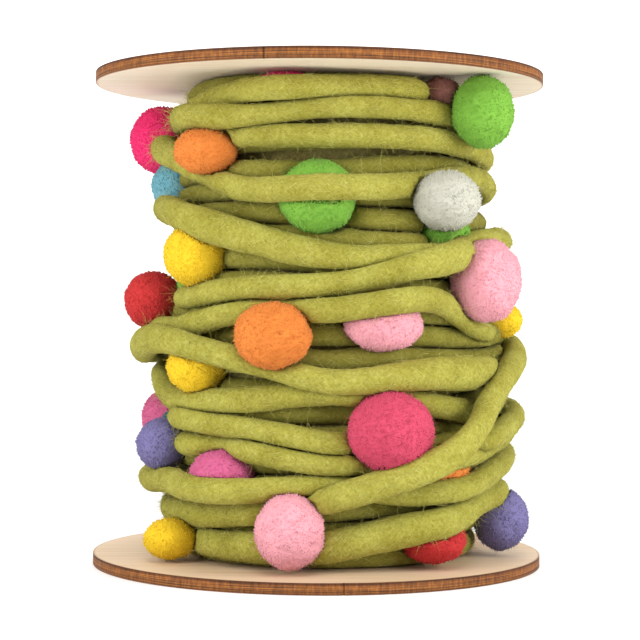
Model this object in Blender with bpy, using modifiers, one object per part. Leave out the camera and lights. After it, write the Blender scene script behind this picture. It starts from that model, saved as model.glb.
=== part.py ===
"""Spool of pompom trim: a thick felted cord strung with pompoms, wound between two plywood discs.

Sizes are in millimetres and become metres where a mesh is made. +Z is up and the spool stands on its
bottom disc, whose underside is z = 0. Azimuth 0 is the front (-Y) and grows towards the right (+X).
"""

import math

import bmesh
import bpy
import numpy as np
from mathutils import Matrix, Vector, noise

MM = 0.001

# The spool
DISC_DIAMETER = 120.0
DISC_THICKNESS = 3.0
DISC_SEGMENTS = 72
SPOOL_HEIGHT = 131.0
SEAT_GAP = 0.3
SHARP_DEGREES = 40
ROUGHNESS = 0.9

# The wound cord
CORD_DIAMETER = 6.5
CORD_RADIUS = CORD_DIAMETER / 2
SOFT_DISC = 0.9  # a cord that lies on a disc is pressed to this share of its radius
SOFT_CONTACT = 0.74  # pressed cords lie this share of a diameter apart
SOFT_POMPOM = 0.86  # a cord sinks this far into a pompom that it crosses
OUTER_LEVEL = 3.6  # an outer turn's least height over the inner turns
SLACK = 0.9  # how deep a taut turn may press into a hump that it crosses
LEVELLED = 3  # a turn is evened out over this many samples each way
ROUNDED = 2  # and its bends are rounded over this many
STEP_DEGREES = 6
SAMPLES = 360 // STEP_DEGREES

# The mesh of the winding
ROW_HEIGHT = 1.95
FILL_DEPTH = 1.2  # the grooves are filled to this depth under the inner turns' middles
BLEND = 0.2  # how much of each neighbour on the same row a point takes in
POMPOM_CLEARANCE = 0.6
FURTHEST = DISC_DIAMETER / 2 - SEAT_GAP  # nothing stands out past the discs
SHORTEST_EDGE = 0.3
POMPOM_LUMPS = 0.05  # a pompom's surface rises and falls by this share of its radius
LUMPS_ACROSS = 6.0
FACET_LOSS = 1.06  # a ball of few flat faces is made larger by this

# The layer under the outer turns: (height, radius of the cord's middle, how far right it lies)
FORM = (
    (3.0, 37.5, 2.5),
    (12.0, 39.0, 3.5),
    (25.0, 41.0, 3.0),
    (45.0, 41.0, 3.3),
    (58.0, 42.0, 3.2),
    (70.0, 41.6, 3.6),
    (85.0, 41.0, 4.8),
    (97.0, 38.8, 2.0),
    (110.0, 38.2, 0.8),
    (128.0, 36.5, 0.5),
)

# Each turn's height at these azimuths. The back is where it runs into the next turn.
COLUMNS = (-90, -60, -30, 0, 30, 60, 90, 180)
START_HEIGHT = 6.4
INNER_TURNS = (
    # name, left, left 60, left 30, front, right 30, right 60, right, back
    ("inner_01", 6.4, 6.4, 6.4, 6.4, 6.4, 6.4, 6.5, 9.0),
    ("inner_02", 11.8, 11.8, 11.8, 12.0, 12.5, 13.0, 13.5, 15.0),
    ("inner_03", 17.5, 17.5, 17.5, 18.0, 19.8, 20.5, 20.5, 22.0),
    ("inner_04", 24.0, 23.5, 23.5, 24.0, 25.6, 26.5, 27.0, 28.0),
    ("inner_05", 29.8, 30.0, 30.0, 30.0, 31.3, 32.3, 33.0, 35.0),
    ("inner_06", 36.5, 37.0, 36.5, 36.0, 37.0, 38.0, 39.0, 40.5),
    ("inner_07", 42.5, 43.5, 42.5, 42.3, 43.0, 44.0, 45.0, 46.5),
    ("inner_08", 48.5, 49.2, 48.5, 48.5, 49.0, 49.7, 50.7, 52.0),
    ("inner_09", 54.0, 55.0, 55.0, 55.5, 56.0, 55.5, 56.5, 58.0),
    ("inner_10", 60.0, 61.5, 62.0, 62.0, 61.6, 61.0, 62.0, 64.0),
    ("inner_11", 66.5, 68.0, 68.5, 68.2, 67.5, 66.8, 68.0, 70.0),
    ("inner_12", 72.5, 74.5, 75.0, 74.2, 73.5, 72.8, 74.0, 76.0),
    ("inner_13", 79.0, 81.0, 81.0, 79.8, 79.0, 79.0, 80.0, 82.5),
    ("inner_14", 85.0, 86.6, 86.8, 85.5, 84.8, 85.0, 86.0, 88.0),
    ("inner_15", 91.0, 92.5, 92.5, 91.2, 90.5, 91.0, 92.0, 94.0),
    ("inner_16", 96.5, 98.0, 98.2, 97.0, 97.0, 97.5, 98.0, 100.0),
    ("inner_17", 102.5, 104.0, 103.8, 103.4, 103.8, 103.5, 104.0, 106.0),
    ("inner_18", 108.0, 109.5, 110.0, 109.5, 110.0, 110.0, 110.5, 112.0),
    ("inner_19", 112.8, 114.6, 124.0, 124.6, 124.6, 122.5, 120.5, 119.5),
)
OUTER_TURNS = (
    # name, laid, lift, left, left 60, left 30, front, right 30, right 60, right, back
    ("outer_01", 1, 0.0, 121.0, 120.5, 121.3, 122.8, 122.2, 119.5, 118.5, 118.0),
    ("outer_02", 3, 0.0, 116.5, 116.8, 117.2, 117.6, 117.2, 113.0, 112.5, 114.0),
    ("outer_03", 2, 0.0, 111.5, 112.8, 112.2, 111.2, 110.7, 108.3, 107.0, 108.0),
    ("outer_04", 4, 0.0, 105.5, 105.3, 99.3, 98.2, 99.5, 102.5, 100.5, 99.0),
    ("outer_05", 5, 0.0, 95.0, 93.0, 88.5, 82.0, 82.0, 81.0, 80.0, 79.0),
    ("outer_06", 6, 0.0, 73.5, 73.0, 74.6, 74.2, 79.0, 84.5, 87.0, 78.0),
    ("outer_07", 7, 0.0, 62.5, 62.5, 67.5, 68.2, 71.7, 64.0, 63.0, 63.5),
    ("outer_08", 10, 1.6, 58.8, 58.8, 57.5, 50.5, 51.0, 50.0, 52.0, 55.0),
    ("outer_09", 8, 0.0, 52.5, 48.5, 46.0, 45.2, 44.0, 42.0, 46.5, 46.0),
    ("outer_10", 9, 0.0, 43.5, 42.5, 39.4, 35.3, 33.6, 36.5, 41.5, 37.0),
    ("outer_11", 11, 1.5, 31.0, 32.0, 34.3, 29.8, 28.8, 31.5, 36.3, 30.0),
    ("outer_12", 12, 2.4, 23.5, 25.3, 23.7, 25.5, 23.0, 24.8, 26.5, 22.5),
    ("outer_13", 13, 0.0, 12.0, 12.6, 10.3, 10.7, 13.4, 16.8, 19.5, 20.5),
    ("outer_14", 14, 0.0, 18.5, 17.6, 17.7, 21.2, 26.6, 41.0, 56.5, 57.5),
)
# Where a turn dives under its neighbours: name, azimuth, half width in degrees, depth
DIVES = (
    ("outer_01", -78, 38, 6.5),
    ("outer_14", 180, 40, 8.0),
)

COLOURS = {
    "cord_lime": (0.46, 0.45, 0.07),
    "plywood": (0.70, 0.54, 0.36),
    "crimson": (0.70, 0.03, 0.09),
    "orange": (0.88, 0.27, 0.05),
    "green": (0.13, 0.50, 0.05),
    "white": (0.75, 0.73, 0.66),
    "sky": (0.22, 0.45, 0.50),
    "yellow": (0.93, 0.66, 0.03),
    "red": (0.68, 0.03, 0.04),
    "pink": (0.92, 0.44, 0.50),
    "hot_pink": (0.84, 0.10, 0.30),
    "violet": (0.18, 0.15, 0.38),
    "maroon": (0.18, 0.04, 0.03),
    "teal": (0.06, 0.22, 0.25),
}
POMPOMS = (
    # colour, azimuth, height, radius of its middle, width, tall, deep, turns laid over it
    ("crimson", -106, 115.4, 46.0, 18.0, 18.0, 18.0, ()),
    ("orange", -42, 108.2, 44.5, 16.8, 16.4, 16.0, ("outer_02", "outer_04")),
    ("green", 66, 118.4, 46.5, 17.6, 18.6, 17.0, ()),
    ("white", 42, 94.6, 46.5, 18.9, 16.4, 17.0, ()),
    ("green", -4, 96.2, 42.0, 19.2, 18.6, 18.0, ("outer_04",)),
    ("sky", -92, 101.0, 40.0, 15.0, 15.0, 15.0, ("outer_04",)),
    ("yellow", -52, 82.0, 46.0, 16.8, 16.8, 16.0, ("outer_05",)),
    ("red", -84, 71.0, 48.0, 16.2, 16.2, 16.2, ()),
    ("orange", -17, 61.7, 49.0, 19.4, 16.6, 17.0, ()),
    ("pink", 51, 75.7, 48.5, 17.8, 20.6, 18.0, ()),
    ("pink", 17, 63.6, 44.0, 19.8, 15.6, 16.0, ("outer_07",)),
    ("yellow", -50, 53.0, 44.5, 15.6, 14.0, 15.0, ("outer_08",)),
    ("hot_pink", -95, 39.5, 46.5, 15.5, 15.5, 15.5, ()),
    ("violet", -68, 33.8, 48.0, 14.2, 14.2, 14.2, ()),
    ("hot_pink", -36, 30.0, 44.5, 18.2, 15.5, 16.0, ("outer_11", "outer_12")),
    ("hot_pink", 18, 38.2, 48.5, 21.6, 20.2, 19.0, ()),
    ("orange", 43, 27.2, 43.5, 15.6, 14.0, 15.0, ("outer_12", "outer_14")),
    ("pink", -12, 13.6, 48.5, 17.2, 19.0, 17.0, ()),
    ("yellow", -58, 10.4, 48.0, 14.6, 14.2, 14.6, ()),
    ("red", 37, 10.4, 43.5, 17.2, 14.2, 16.0, ("outer_13",)),
    ("violet", 70, 13.0, 47.5, 16.4, 17.2, 16.5, ("outer_13",)),
    ("yellow", 83, 64.8, 41.8, 15.0, 15.0, 15.0, ("outer_07", "outer_14")),
    ("green", 44, 87.0, 41.0, 15.0, 13.0, 14.0, ("outer_05", "outer_06")),
    ("crimson", -15, 122.2, 40.0, 16.0, 12.0, 15.0, ("outer_01",)),
    ("maroon", 47, 121.8, 40.5, 14.0, 12.0, 14.0, ("outer_01",)),
    ("green", -74, 75.5, 43.0, 13.0, 13.0, 13.0, ()),
    ("teal", -76, 38.4, 43.5, 12.0, 11.0, 12.0, ()),
    ("sky", 114, 98.0, 43.0, 17.0, 17.0, 16.0, ()),
    ("hot_pink", 112, 41.0, 46.5, 18.0, 18.0, 17.0, ()),
    ("orange", 122, 111.0, 40.5, 17.0, 17.0, 16.0, ("outer_02",)),
    ("pink", 128, 11.8, 45.0, 16.0, 16.0, 16.0, ()),
    ("yellow", 138, 78.0, 45.5, 17.0, 17.0, 16.0, ()),
    ("red", 142, 57.0, 41.0, 17.0, 16.0, 16.0, ("outer_08", "outer_14")),
    ("green", 152, 28.0, 46.5, 18.0, 18.0, 17.0, ()),
    ("violet", 158, 101.0, 44.5, 17.0, 17.0, 17.0, ()),
    ("white", 172, 68.0, 46.5, 18.0, 18.0, 17.0, ()),
    ("crimson", 177, 12.0, 45.0, 16.0, 16.0, 16.0, ()),
    ("pink", 184, 118.6, 42.0, 16.0, 16.0, 16.0, ()),
    ("hot_pink", 192, 88.0, 45.5, 19.0, 19.0, 17.0, ()),
    ("orange", 200, 46.0, 46.5, 18.0, 18.0, 17.0, ()),
    ("sky", 214, 70.0, 42.5, 17.0, 16.0, 16.0, ("outer_06", "outer_07")),
    ("yellow", 218, 24.0, 45.5, 17.0, 17.0, 16.0, ()),
    ("green", 224, 104.0, 44.0, 17.0, 17.0, 16.0, ()),
    ("pink", 238, 54.0, 46.5, 18.0, 18.0, 17.0, ()),
    ("red", 246, 86.0, 44.5, 16.0, 16.0, 16.0, ()),
    ("orange", 240, 11.0, 44.0, 15.0, 15.0, 15.0, ()),
)


def smooth_curve(knots, values, at):
    """A cubic curve through the values, read at the given places."""
    knots, values = np.asarray(knots, float), np.asarray(values, float)
    slope = np.gradient(values, knots)
    i = np.clip(np.searchsorted(knots, at, side="right") - 1, 0, len(knots) - 2)
    span = knots[i + 1] - knots[i]
    t = (at - knots[i]) / span
    start = (2 * t**3 - 3 * t**2 + 1) * values[i] + (t**3 - 2 * t**2 + t) * span * slope[i]
    end = (3 * t**2 - 2 * t**3) * values[i + 1] + (t**3 - t**2) * span * slope[i + 1]
    return start + end


def blurred(values, reach):
    """The values evened out along the cord over this many samples each way."""
    weights = np.hanning(2 * reach + 3)[1:-1]
    padded = np.pad(values, reach, mode="edge")
    return np.convolve(padded, weights / weights.sum(), mode="valid")


def degrees_apart(azimuths, azimuth):
    """How far each azimuth lies from one, the short way round."""
    return np.abs((azimuths - azimuth + 180) % 360 - 180)


def turn_heights(rows):
    """Every turn's height at each sampled azimuth, from the back round to the back."""
    knots, values = [-180.0], [START_HEIGHT]
    for index, row in enumerate(rows):
        knots += [index * 360.0 + column for column in COLUMNS]
        values += row[-len(COLUMNS):]
    at = np.arange(len(rows) * SAMPLES) * STEP_DEGREES - 180.0
    lowest = DISC_THICKNESS + SEAT_GAP + CORD_RADIUS * SOFT_DISC
    highest = SPOOL_HEIGHT - lowest
    heights = np.clip(smooth_curve(knots, values, at), lowest, highest)
    return heights.reshape(len(rows), SAMPLES)


def form_at(height):
    """(radius, shift right) of the layer under the outer turns at this height."""
    heights, radii, shifts = zip(*FORM)
    return smooth_curve(heights, radii, height), smooth_curve(heights, shifts, height)


def pressed_rise(reach, distance):
    """How far a round thing is lifted by another that lies this far aside, and 0 past its reach."""
    return np.sqrt(np.maximum(reach**2 - distance**2, 0))


def wind_cord():
    """(azimuths, heights, radii): the path of the cord's middle, turn by turn, each laid on the last."""
    rows = [(row[0], 0, 0.0, *row[1:]) for row in INNER_TURNS] + list(OUTER_TURNS)
    azimuths = np.arange(SAMPLES) * STEP_DEGREES - 180.0
    heights = turn_heights(rows)
    radii = np.zeros_like(heights)
    laid_before = []
    for turn in sorted(range(len(rows)), key=lambda index: (rows[index][1], index)):
        name, laid, lift = rows[turn][:3]
        height = heights[turn]
        need = form_at(height)[0] + (OUTER_LEVEL + lift if laid else 0)
        for under in laid_before:
            rise = pressed_rise(SOFT_CONTACT * CORD_DIAMETER, height - heights[under])
            need = np.where(rise > 0, np.maximum(need, radii[under] + rise), need)
        for _, azimuth, middle, radius, width, _, _, over in POMPOMS:
            if name in over:
                along = np.radians(degrees_apart(azimuths, azimuth)) * radius
                reach = SOFT_POMPOM * (width / 2 + CORD_RADIUS)
                rise = pressed_rise(reach, np.hypot(along, height - middle))
                need = np.where(rise > 0, np.maximum(need, radius + rise), need)
        taut = np.maximum(blurred(need, LEVELLED), need - SLACK)
        for dive, azimuth, width, depth in DIVES:
            if dive == name:
                near = np.clip(1 - np.abs(azimuths - azimuth) / width, 0, 1)
                taut -= depth * near**2 * (3 - 2 * near)
        radii[turn] = taut
        laid_before.append(turn)
    radii = blurred(radii.ravel(), ROUNDED).reshape(radii.shape)
    return azimuths, heights, radii


def place(azimuth, radius, height):
    """A point of the winding, in metres."""
    angle = math.radians(azimuth)
    across = float(form_at(np.array(height))[1]) + radius * math.sin(angle)
    return Vector((across, -radius * math.cos(angle), height)) * MM


def pocket(row, azimuths, rows):
    """The winding's outer radius where this pompom nests in it, and infinity elsewhere."""
    _, azimuth, middle, radius, width, tall, deep, _ = row
    turned = np.radians((azimuths - azimuth + 180) % 360 - 180)[:, None]
    across = 2 * radius * np.sin(turned) / width
    share = 1 - across**2 - (2 * (rows[None, :] - middle) / tall) ** 2
    near = (share > 0) & (np.cos(turned) > 0)
    return np.where(near, radius - deep / 2 * np.sqrt(np.maximum(share, 0)), np.inf)


def envelope(azimuths, heights, radii, rows):
    """The winding's outer radius over rows of heights, for each sampled azimuth."""
    outer = np.tile(form_at(rows)[0] - FILL_DEPTH, (SAMPLES, 1))
    climb = np.gradient(heights, axis=1) / (np.radians(STEP_DEGREES) * radii)
    tall = CORD_RADIUS * np.sqrt(1 + climb**2)
    names = [row[0] for row in INNER_TURNS + OUTER_TURNS]
    pockets = [(row[-1], pocket(row, azimuths, rows)) for row in POMPOMS]
    for _, hollow in pockets:
        outer = np.minimum(outer, hollow)
    for name, height, radius, half in zip(names, heights, radii, tall):
        share = 1 - ((rows[None, :] - height[:, None]) / half[:, None]) ** 2
        bulge = radius[:, None] + CORD_RADIUS * np.sqrt(np.maximum(share, 0))
        for over, hollow in pockets:
            if name not in over:
                bulge = np.minimum(bulge, hollow)
        outer = np.where(share > 0, np.maximum(outer, bulge), outer)
    beside = np.roll(outer, 1, axis=0) + np.roll(outer, -1, axis=0)
    return (1 - 2 * BLEND) * outer + BLEND * beside


def linked(name, mesh, collection, material):
    """A new object of this mesh in the collection."""
    made = bpy.data.objects.new(name, mesh)
    collection.objects.link(made)
    if material:
        mesh.materials.clear()
        mesh.materials.append(material)
    return made


def evaluated_mesh(made):
    """The mesh of an object with its modifiers applied."""
    graph = bpy.context.evaluated_depsgraph_get()
    return bpy.data.meshes.new_from_object(made.evaluated_get(graph))


def make_material(name, colour):
    """A Principled material of one colour."""
    material = bpy.data.materials.new(name)
    material.use_nodes = True
    shader = material.node_tree.nodes["Principled BSDF"]
    shader.inputs["Base Color"].default_value = (*colour, 1.0)
    shader.inputs["Roughness"].default_value = ROUGHNESS
    shader.inputs["Metallic"].default_value = 0.0
    return material


def make_disc(name, bottom, collection, material):
    """One plywood disc, its underside at this height."""
    middle = (0, 0, (bottom + DISC_THICKNESS / 2) * MM)
    bpy.ops.mesh.primitive_cylinder_add(
        vertices=DISC_SEGMENTS,
        radius=DISC_DIAMETER / 2 * MM,
        depth=DISC_THICKNESS * MM,
        location=middle,
    )
    disc = bpy.context.object
    disc.name = name
    disc.data.materials.append(material)
    disc.data.shade_smooth()
    disc.data.set_sharp_from_angle(angle=math.radians(SHARP_DEGREES))
    for owner in list(disc.users_collection):
        owner.objects.unlink(disc)
    collection.objects.link(disc)
    return disc


def make_winding(outer, rows, collection, material):
    """The wound cord as one solid: a turned form whose points are raised to the cord's turns."""
    line = bmesh.new()
    corners = [line.verts.new((CORD_DIAMETER * MM, 0, height * MM)) for height in rows[::-1]]
    for first, second in zip(corners, corners[1:]):
        line.edges.new((first, second))
    profile = bpy.data.meshes.new("winding_profile")
    line.to_mesh(profile)
    line.free()
    turned = linked("winding_profile", profile, collection, None)
    screw = turned.modifiers.new("Turn", "SCREW")
    screw.steps = screw.render_steps = SAMPLES
    screw.use_merge_vertices = True
    screw.merge_threshold = 0.00001
    winding = linked("winding", evaluated_mesh(turned), collection, material)
    bpy.data.objects.remove(turned)

    shaped = bmesh.new()
    shaped.from_mesh(winding.data)
    for corner in shaped.verts:
        azimuth = math.degrees(math.atan2(corner.co.x, -corner.co.y))
        column = round((azimuth + 180) / STEP_DEGREES) % SAMPLES
        row = round((corner.co.z / MM - rows[0]) / (rows[1] - rows[0]))
        corner.co = place(column * STEP_DEGREES - 180, outer[column, row], rows[row])
    bmesh.ops.holes_fill(shaped, edges=shaped.edges, sides=0)
    bmesh.ops.recalc_face_normals(shaped, faces=shaped.faces)
    bmesh.ops.triangulate(shaped, faces=shaped.faces)
    shaped.to_mesh(winding.data)
    shaped.free()
    winding.data.shade_smooth()
    return winding


def make_clearance(winding, collection):
    """The winding grown outwards by the pompoms' clearance, to cut them with."""
    grown = linked("winding_clearance", winding.data.copy(), collection, None)
    for corner in grown.data.vertices:
        axis = place(0, 0, corner.co.z / MM)
        out = Vector((corner.co.x - axis.x, corner.co.y, 0))
        corner.co += out.normalized() * POMPOM_CLEARANCE * MM
    hide_helper(grown)
    return grown


def hide_helper(helper):
    """Keeps a cutter out of the model."""
    helper.hide_render = True
    helper.display_type = "WIRE"


def make_ball(name, row, grow, collection, material):
    """One pompom before it is pressed: a ball with its own width, height and depth."""
    _, azimuth, height, radius, width, tall, deep, _ = row
    ball = bmesh.new()
    bmesh.ops.create_icosphere(ball, subdivisions=2, radius=FACET_LOSS / 2)
    for corner in ball.verts:
        spot = corner.co * LUMPS_ACROSS + Vector((azimuth, height, 0))
        corner.co *= 1 + POMPOM_LUMPS * noise.noise(spot)
    size = Matrix.Diagonal(((width + grow) * MM, (deep + grow) * MM, (tall + grow) * MM, 1))
    turn = Matrix.Rotation(math.radians(azimuth), 4, "Z")
    ball.transform(Matrix.Translation(place(azimuth, radius, height)) @ turn @ size)
    lowest = (DISC_THICKNESS + SEAT_GAP) * MM
    highest = SPOOL_HEIGHT * MM - lowest
    for corner in ball.verts:
        corner.co.z = min(max(corner.co.z, lowest), highest)
        inside = min(1, FURTHEST * MM / math.hypot(corner.co.x, corner.co.y))
        corner.co.x *= inside
        corner.co.y *= inside
    mesh = bpy.data.meshes.new(name)
    ball.to_mesh(mesh)
    ball.free()
    return linked(name, mesh, collection, material)


def keep_largest(mesh):
    """Leaves only the largest of a mesh's separate pieces."""
    shape = bmesh.new()
    shape.from_mesh(mesh)
    bmesh.ops.dissolve_degenerate(shape, edges=shape.edges, dist=SHORTEST_EDGE * MM)
    groups, seen = [], set()
    for start in shape.verts:
        group = [] if start in seen else [start]
        seen.add(start)
        for corner in group:
            beside = [edge.other_vert(corner) for edge in corner.link_edges]
            group += [other for other in beside if other not in seen]
            seen.update(beside)
        groups.append(group)
    groups.sort(key=len)
    for group in groups[:-1]:
        bmesh.ops.delete(shape, geom=group, context="VERTS")
    shape.to_mesh(mesh)
    shape.free()
    return mesh


def press_pompom(ball, cutters, collection, material):
    """A pompom pressed against the winding and against the pompoms that touch it."""
    for cutter in cutters:
        cut = ball.modifiers.new("Pressed", "BOOLEAN")
        cut.operation = "DIFFERENCE"
        cut.solver = "MANIFOLD"
        cut.object = cutter
    mesh = keep_largest(evaluated_mesh(ball))
    name = ball.name
    bpy.data.objects.remove(ball)
    pompom = linked(name, mesh, collection, material)
    pompom.data.shade_smooth()
    return pompom


def main():
    for leftover in list(bpy.data.objects):
        bpy.data.objects.remove(leftover)
    spool = bpy.data.collections.new("pompom_trim_spool")
    helpers = bpy.data.collections.new("cutters")
    bpy.context.scene.collection.children.link(spool)
    bpy.context.scene.collection.children.link(helpers)
    materials = {name: make_material(name, colour) for name, colour in COLOURS.items()}

    make_disc("disc_bottom", 0.0, spool, materials["plywood"])
    make_disc("disc_top", SPOOL_HEIGHT - DISC_THICKNESS, spool, materials["plywood"])

    azimuths, heights, radii = wind_cord()
    lowest = DISC_THICKNESS + SEAT_GAP
    count = round((SPOOL_HEIGHT - 2 * lowest) / ROW_HEIGHT)
    rows = np.linspace(lowest, SPOOL_HEIGHT - lowest, count + 1)
    outer = envelope(azimuths, heights, radii, rows)
    winding = make_winding(outer, rows, spool, materials["cord_lime"])
    clearance = make_clearance(winding, helpers)

    balls, grown, middles = [], [], []
    for index, row in enumerate(POMPOMS):
        name = f"pompom_{index + 1:02d}_{row[0]}"
        balls.append(make_ball(name, row, 0.0, spool, materials[row[0]]))
        grown.append(make_ball(name + "_clearance", row, 2 * SEAT_GAP, helpers, None))
        hide_helper(grown[-1])
        middles.append(place(row[1], row[3], row[2]))
    bpy.context.view_layer.update()
    for index, row in enumerate(POMPOMS):
        cutters = [clearance]
        for other, nearby in enumerate(POMPOMS[:index]):
            reach = (max(row[4:7]) + max(nearby[4:7])) / 2 + 1
            if (middles[index] - middles[other]).length < reach * MM:
                cutters.append(grown[other])
        press_pompom(balls[index], cutters, spool, materials[row[0]])


main()
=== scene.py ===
"""Spool of pompom trim: a felted wool cord strung with pompoms, wound between two laser-cut birch discs.

Sizes are in millimetres and become metres where a mesh is made. +Z is up. Azimuth 0 is the front (-Y) and
grows towards the right (+X). The cord's turns and the pompoms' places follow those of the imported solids.
"""

import logging
import math
from collections.abc import Callable, Sequence
from dataclasses import dataclass, field
from enum import Enum
from functools import partial
from typing import Any

import bpy
import numpy as np
from bpy.types import Material, Mesh, Node, NodeSocket, NodeTree, Object
from mathutils import Matrix, Vector, noise
from mathutils.bvhtree import BVHTree


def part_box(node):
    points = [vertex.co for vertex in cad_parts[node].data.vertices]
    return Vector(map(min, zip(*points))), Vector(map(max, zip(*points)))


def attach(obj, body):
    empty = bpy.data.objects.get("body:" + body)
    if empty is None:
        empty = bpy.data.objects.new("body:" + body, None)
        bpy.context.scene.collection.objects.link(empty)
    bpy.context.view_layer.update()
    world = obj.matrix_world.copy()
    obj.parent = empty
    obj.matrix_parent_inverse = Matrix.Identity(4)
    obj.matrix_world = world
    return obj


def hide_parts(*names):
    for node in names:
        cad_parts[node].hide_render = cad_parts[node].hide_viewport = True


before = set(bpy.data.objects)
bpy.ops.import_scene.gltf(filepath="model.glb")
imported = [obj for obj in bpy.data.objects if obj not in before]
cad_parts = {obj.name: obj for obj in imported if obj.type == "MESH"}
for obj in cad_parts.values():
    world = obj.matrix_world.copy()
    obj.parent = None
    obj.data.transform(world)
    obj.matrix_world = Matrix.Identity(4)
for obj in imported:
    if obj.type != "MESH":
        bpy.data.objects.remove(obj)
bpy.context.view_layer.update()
BODY = "root"
MM = 0.001
BAKE_MAP = "OFBake"  # the layout that a texture of the piece's colours is drawn on
DISC_RADIUS = 60.0
DISC_THICKNESS = 3.0
TURN_RADIUS = 45.0
UNPRESSED = 0.93  # a surface is bare where it keeps more than this share of its reach
FAR = 99.0  # further than any spoke reaches
NOISE_SEED = 7
log = logging.getLogger("pompom_trim")

Array = np.ndarray
Colour = tuple[float, float, float, float]
Row = tuple[Any, ...]
Inputs = dict[str | int, Any]

# ---- How the cord is wound and where the pompoms sit ----

# The layer under the outer turns: (height, radius of the cord's middle, how far right it lies)
FORM = (
    (3.0, 36.0, 2.5),
    (12.0, 37.5, 3.5),
    (25.0, 39.5, 3.0),
    (45.0, 39.5, 3.3),
    (58.0, 40.5, 3.2),
    (70.0, 40.1, 3.6),
    (85.0, 39.5, 4.8),
    (97.0, 37.6, 2.6),
    (110.0, 36.6, 2.0),
    (128.0, 34.8, 1.6),
)

# Each turn's height at these azimuths. The back is where it runs into the next turn.
COLUMNS = (-90, -60, -30, 0, 30, 60, 90, 180)
START_HEIGHT = 6.4
INNER_TURNS = (
    # name, left, left 60, left 30, front, right 30, right 60, right, back
    ("inner_01", 6.4, 6.4, 6.4, 6.4, 6.4, 6.4, 6.5, 9.0),
    ("inner_02", 11.8, 11.8, 11.8, 12.0, 12.5, 13.0, 13.5, 15.0),
    ("inner_03", 17.5, 17.5, 17.5, 18.0, 19.8, 20.5, 20.5, 22.0),
    ("inner_04", 24.0, 23.5, 23.5, 24.0, 25.6, 26.5, 27.0, 28.0),
    ("inner_05", 29.8, 30.0, 30.0, 30.0, 31.3, 32.3, 33.0, 35.0),
    ("inner_06", 36.5, 37.0, 36.5, 36.0, 37.0, 38.0, 39.0, 40.5),
    ("inner_07", 42.5, 43.5, 42.5, 42.3, 43.0, 44.0, 45.0, 46.5),
    ("inner_08", 48.5, 48.4, 47.4, 48.0, 49.0, 49.7, 50.7, 52.0),
    ("inner_09", 54.0, 55.0, 55.0, 55.5, 56.0, 55.5, 56.5, 58.0),
    ("inner_10", 60.0, 61.5, 62.0, 62.0, 61.6, 61.0, 62.0, 64.0),
    ("inner_11", 66.5, 68.0, 68.5, 68.2, 67.5, 66.8, 68.0, 70.0),
    ("inner_12", 72.5, 74.5, 75.0, 74.2, 73.5, 72.8, 74.0, 76.0),
    ("inner_13", 79.0, 81.0, 81.0, 79.8, 79.0, 79.0, 80.0, 82.5),
    ("inner_14", 85.0, 86.6, 86.8, 85.5, 84.8, 85.0, 86.0, 88.0),
    ("inner_15", 91.0, 92.5, 92.5, 91.2, 90.5, 91.0, 92.0, 94.0),
    ("inner_16", 96.5, 98.0, 98.2, 97.0, 97.0, 97.5, 98.0, 100.0),
    ("inner_17", 102.0, 103.0, 102.6, 102.6, 104.4, 105.2, 104.5, 106.0),
    ("inner_18", 108.0, 109.5, 110.9, 111.3, 112.0, 111.6, 110.5, 115.0),
    ("inner_19", 124.0, 124.6, 124.6, 124.6, 124.6, 122.5, 120.5, 119.0),
)
OUTER_TURNS = (
    # name, laid, lift, left, left 60, left 30, front, right 30, right 60, right, back
    ("outer_01", 1, 0.0, 117.0, 119.8, 122.3, 123.1, 123.4, 121.6, 119.5, 118.0),
    ("outer_02", 3, 0.0, 118.0, 117.6, 116.2, 118.4, 118.6, 117.0, 114.5, 113.0),
    ("outer_03", 2, 0.0, 110.5, 111.6, 111.8, 111.4, 111.5, 110.4, 108.4, 108.5),
    ("outer_04", 4, 0.0, 111.0, 105.9, 98.3, 98.0, 99.5, 102.5, 100.5, 97.0),
    ("outer_05", 5, 0.0, 94.6, 92.6, 86.2, 80.9, 81.6, 81.0, 80.0, 78.0),
    ("outer_06", 6, 0.0, 71.5, 71.0, 73.2, 74.6, 80.2, 85.6, 87.0, 78.0),
    ("outer_07", 7, 0.0, 63.5, 63.0, 67.5, 68.2, 70.8, 63.0, 61.0, 61.5),
    ("outer_08", 10, 1.6, 57.0, 60.4, 56.0, 50.5, 52.0, 51.9, 51.5, 53.0),
    ("outer_09", 8, 0.0, 50.5, 44.2, 45.2, 47.8, 45.0, 42.0, 45.5, 45.5),
    ("outer_10", 11, 0.0, 43.0, 40.6, 38.6, 35.0, 33.6, 36.5, 40.5, 36.5),
    ("outer_11", 9, 0.5, 33.0, 33.6, 33.2, 30.0, 31.0, 32.8, 36.4, 30.0),
    ("outer_12", 12, 2.4, 22.6, 23.9, 23.0, 24.6, 22.6, 26.2, 29.6, 22.5),
    ("outer_13", 13, 0.0, 9.5, 9.2, 8.8, 9.6, 15.0, 19.8, 20.5, 18.0),
    ("outer_14", 14, 0.0, 15.2, 15.2, 17.2, 21.8, 31.4, 49.6, 56.8, 57.5),
)
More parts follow.
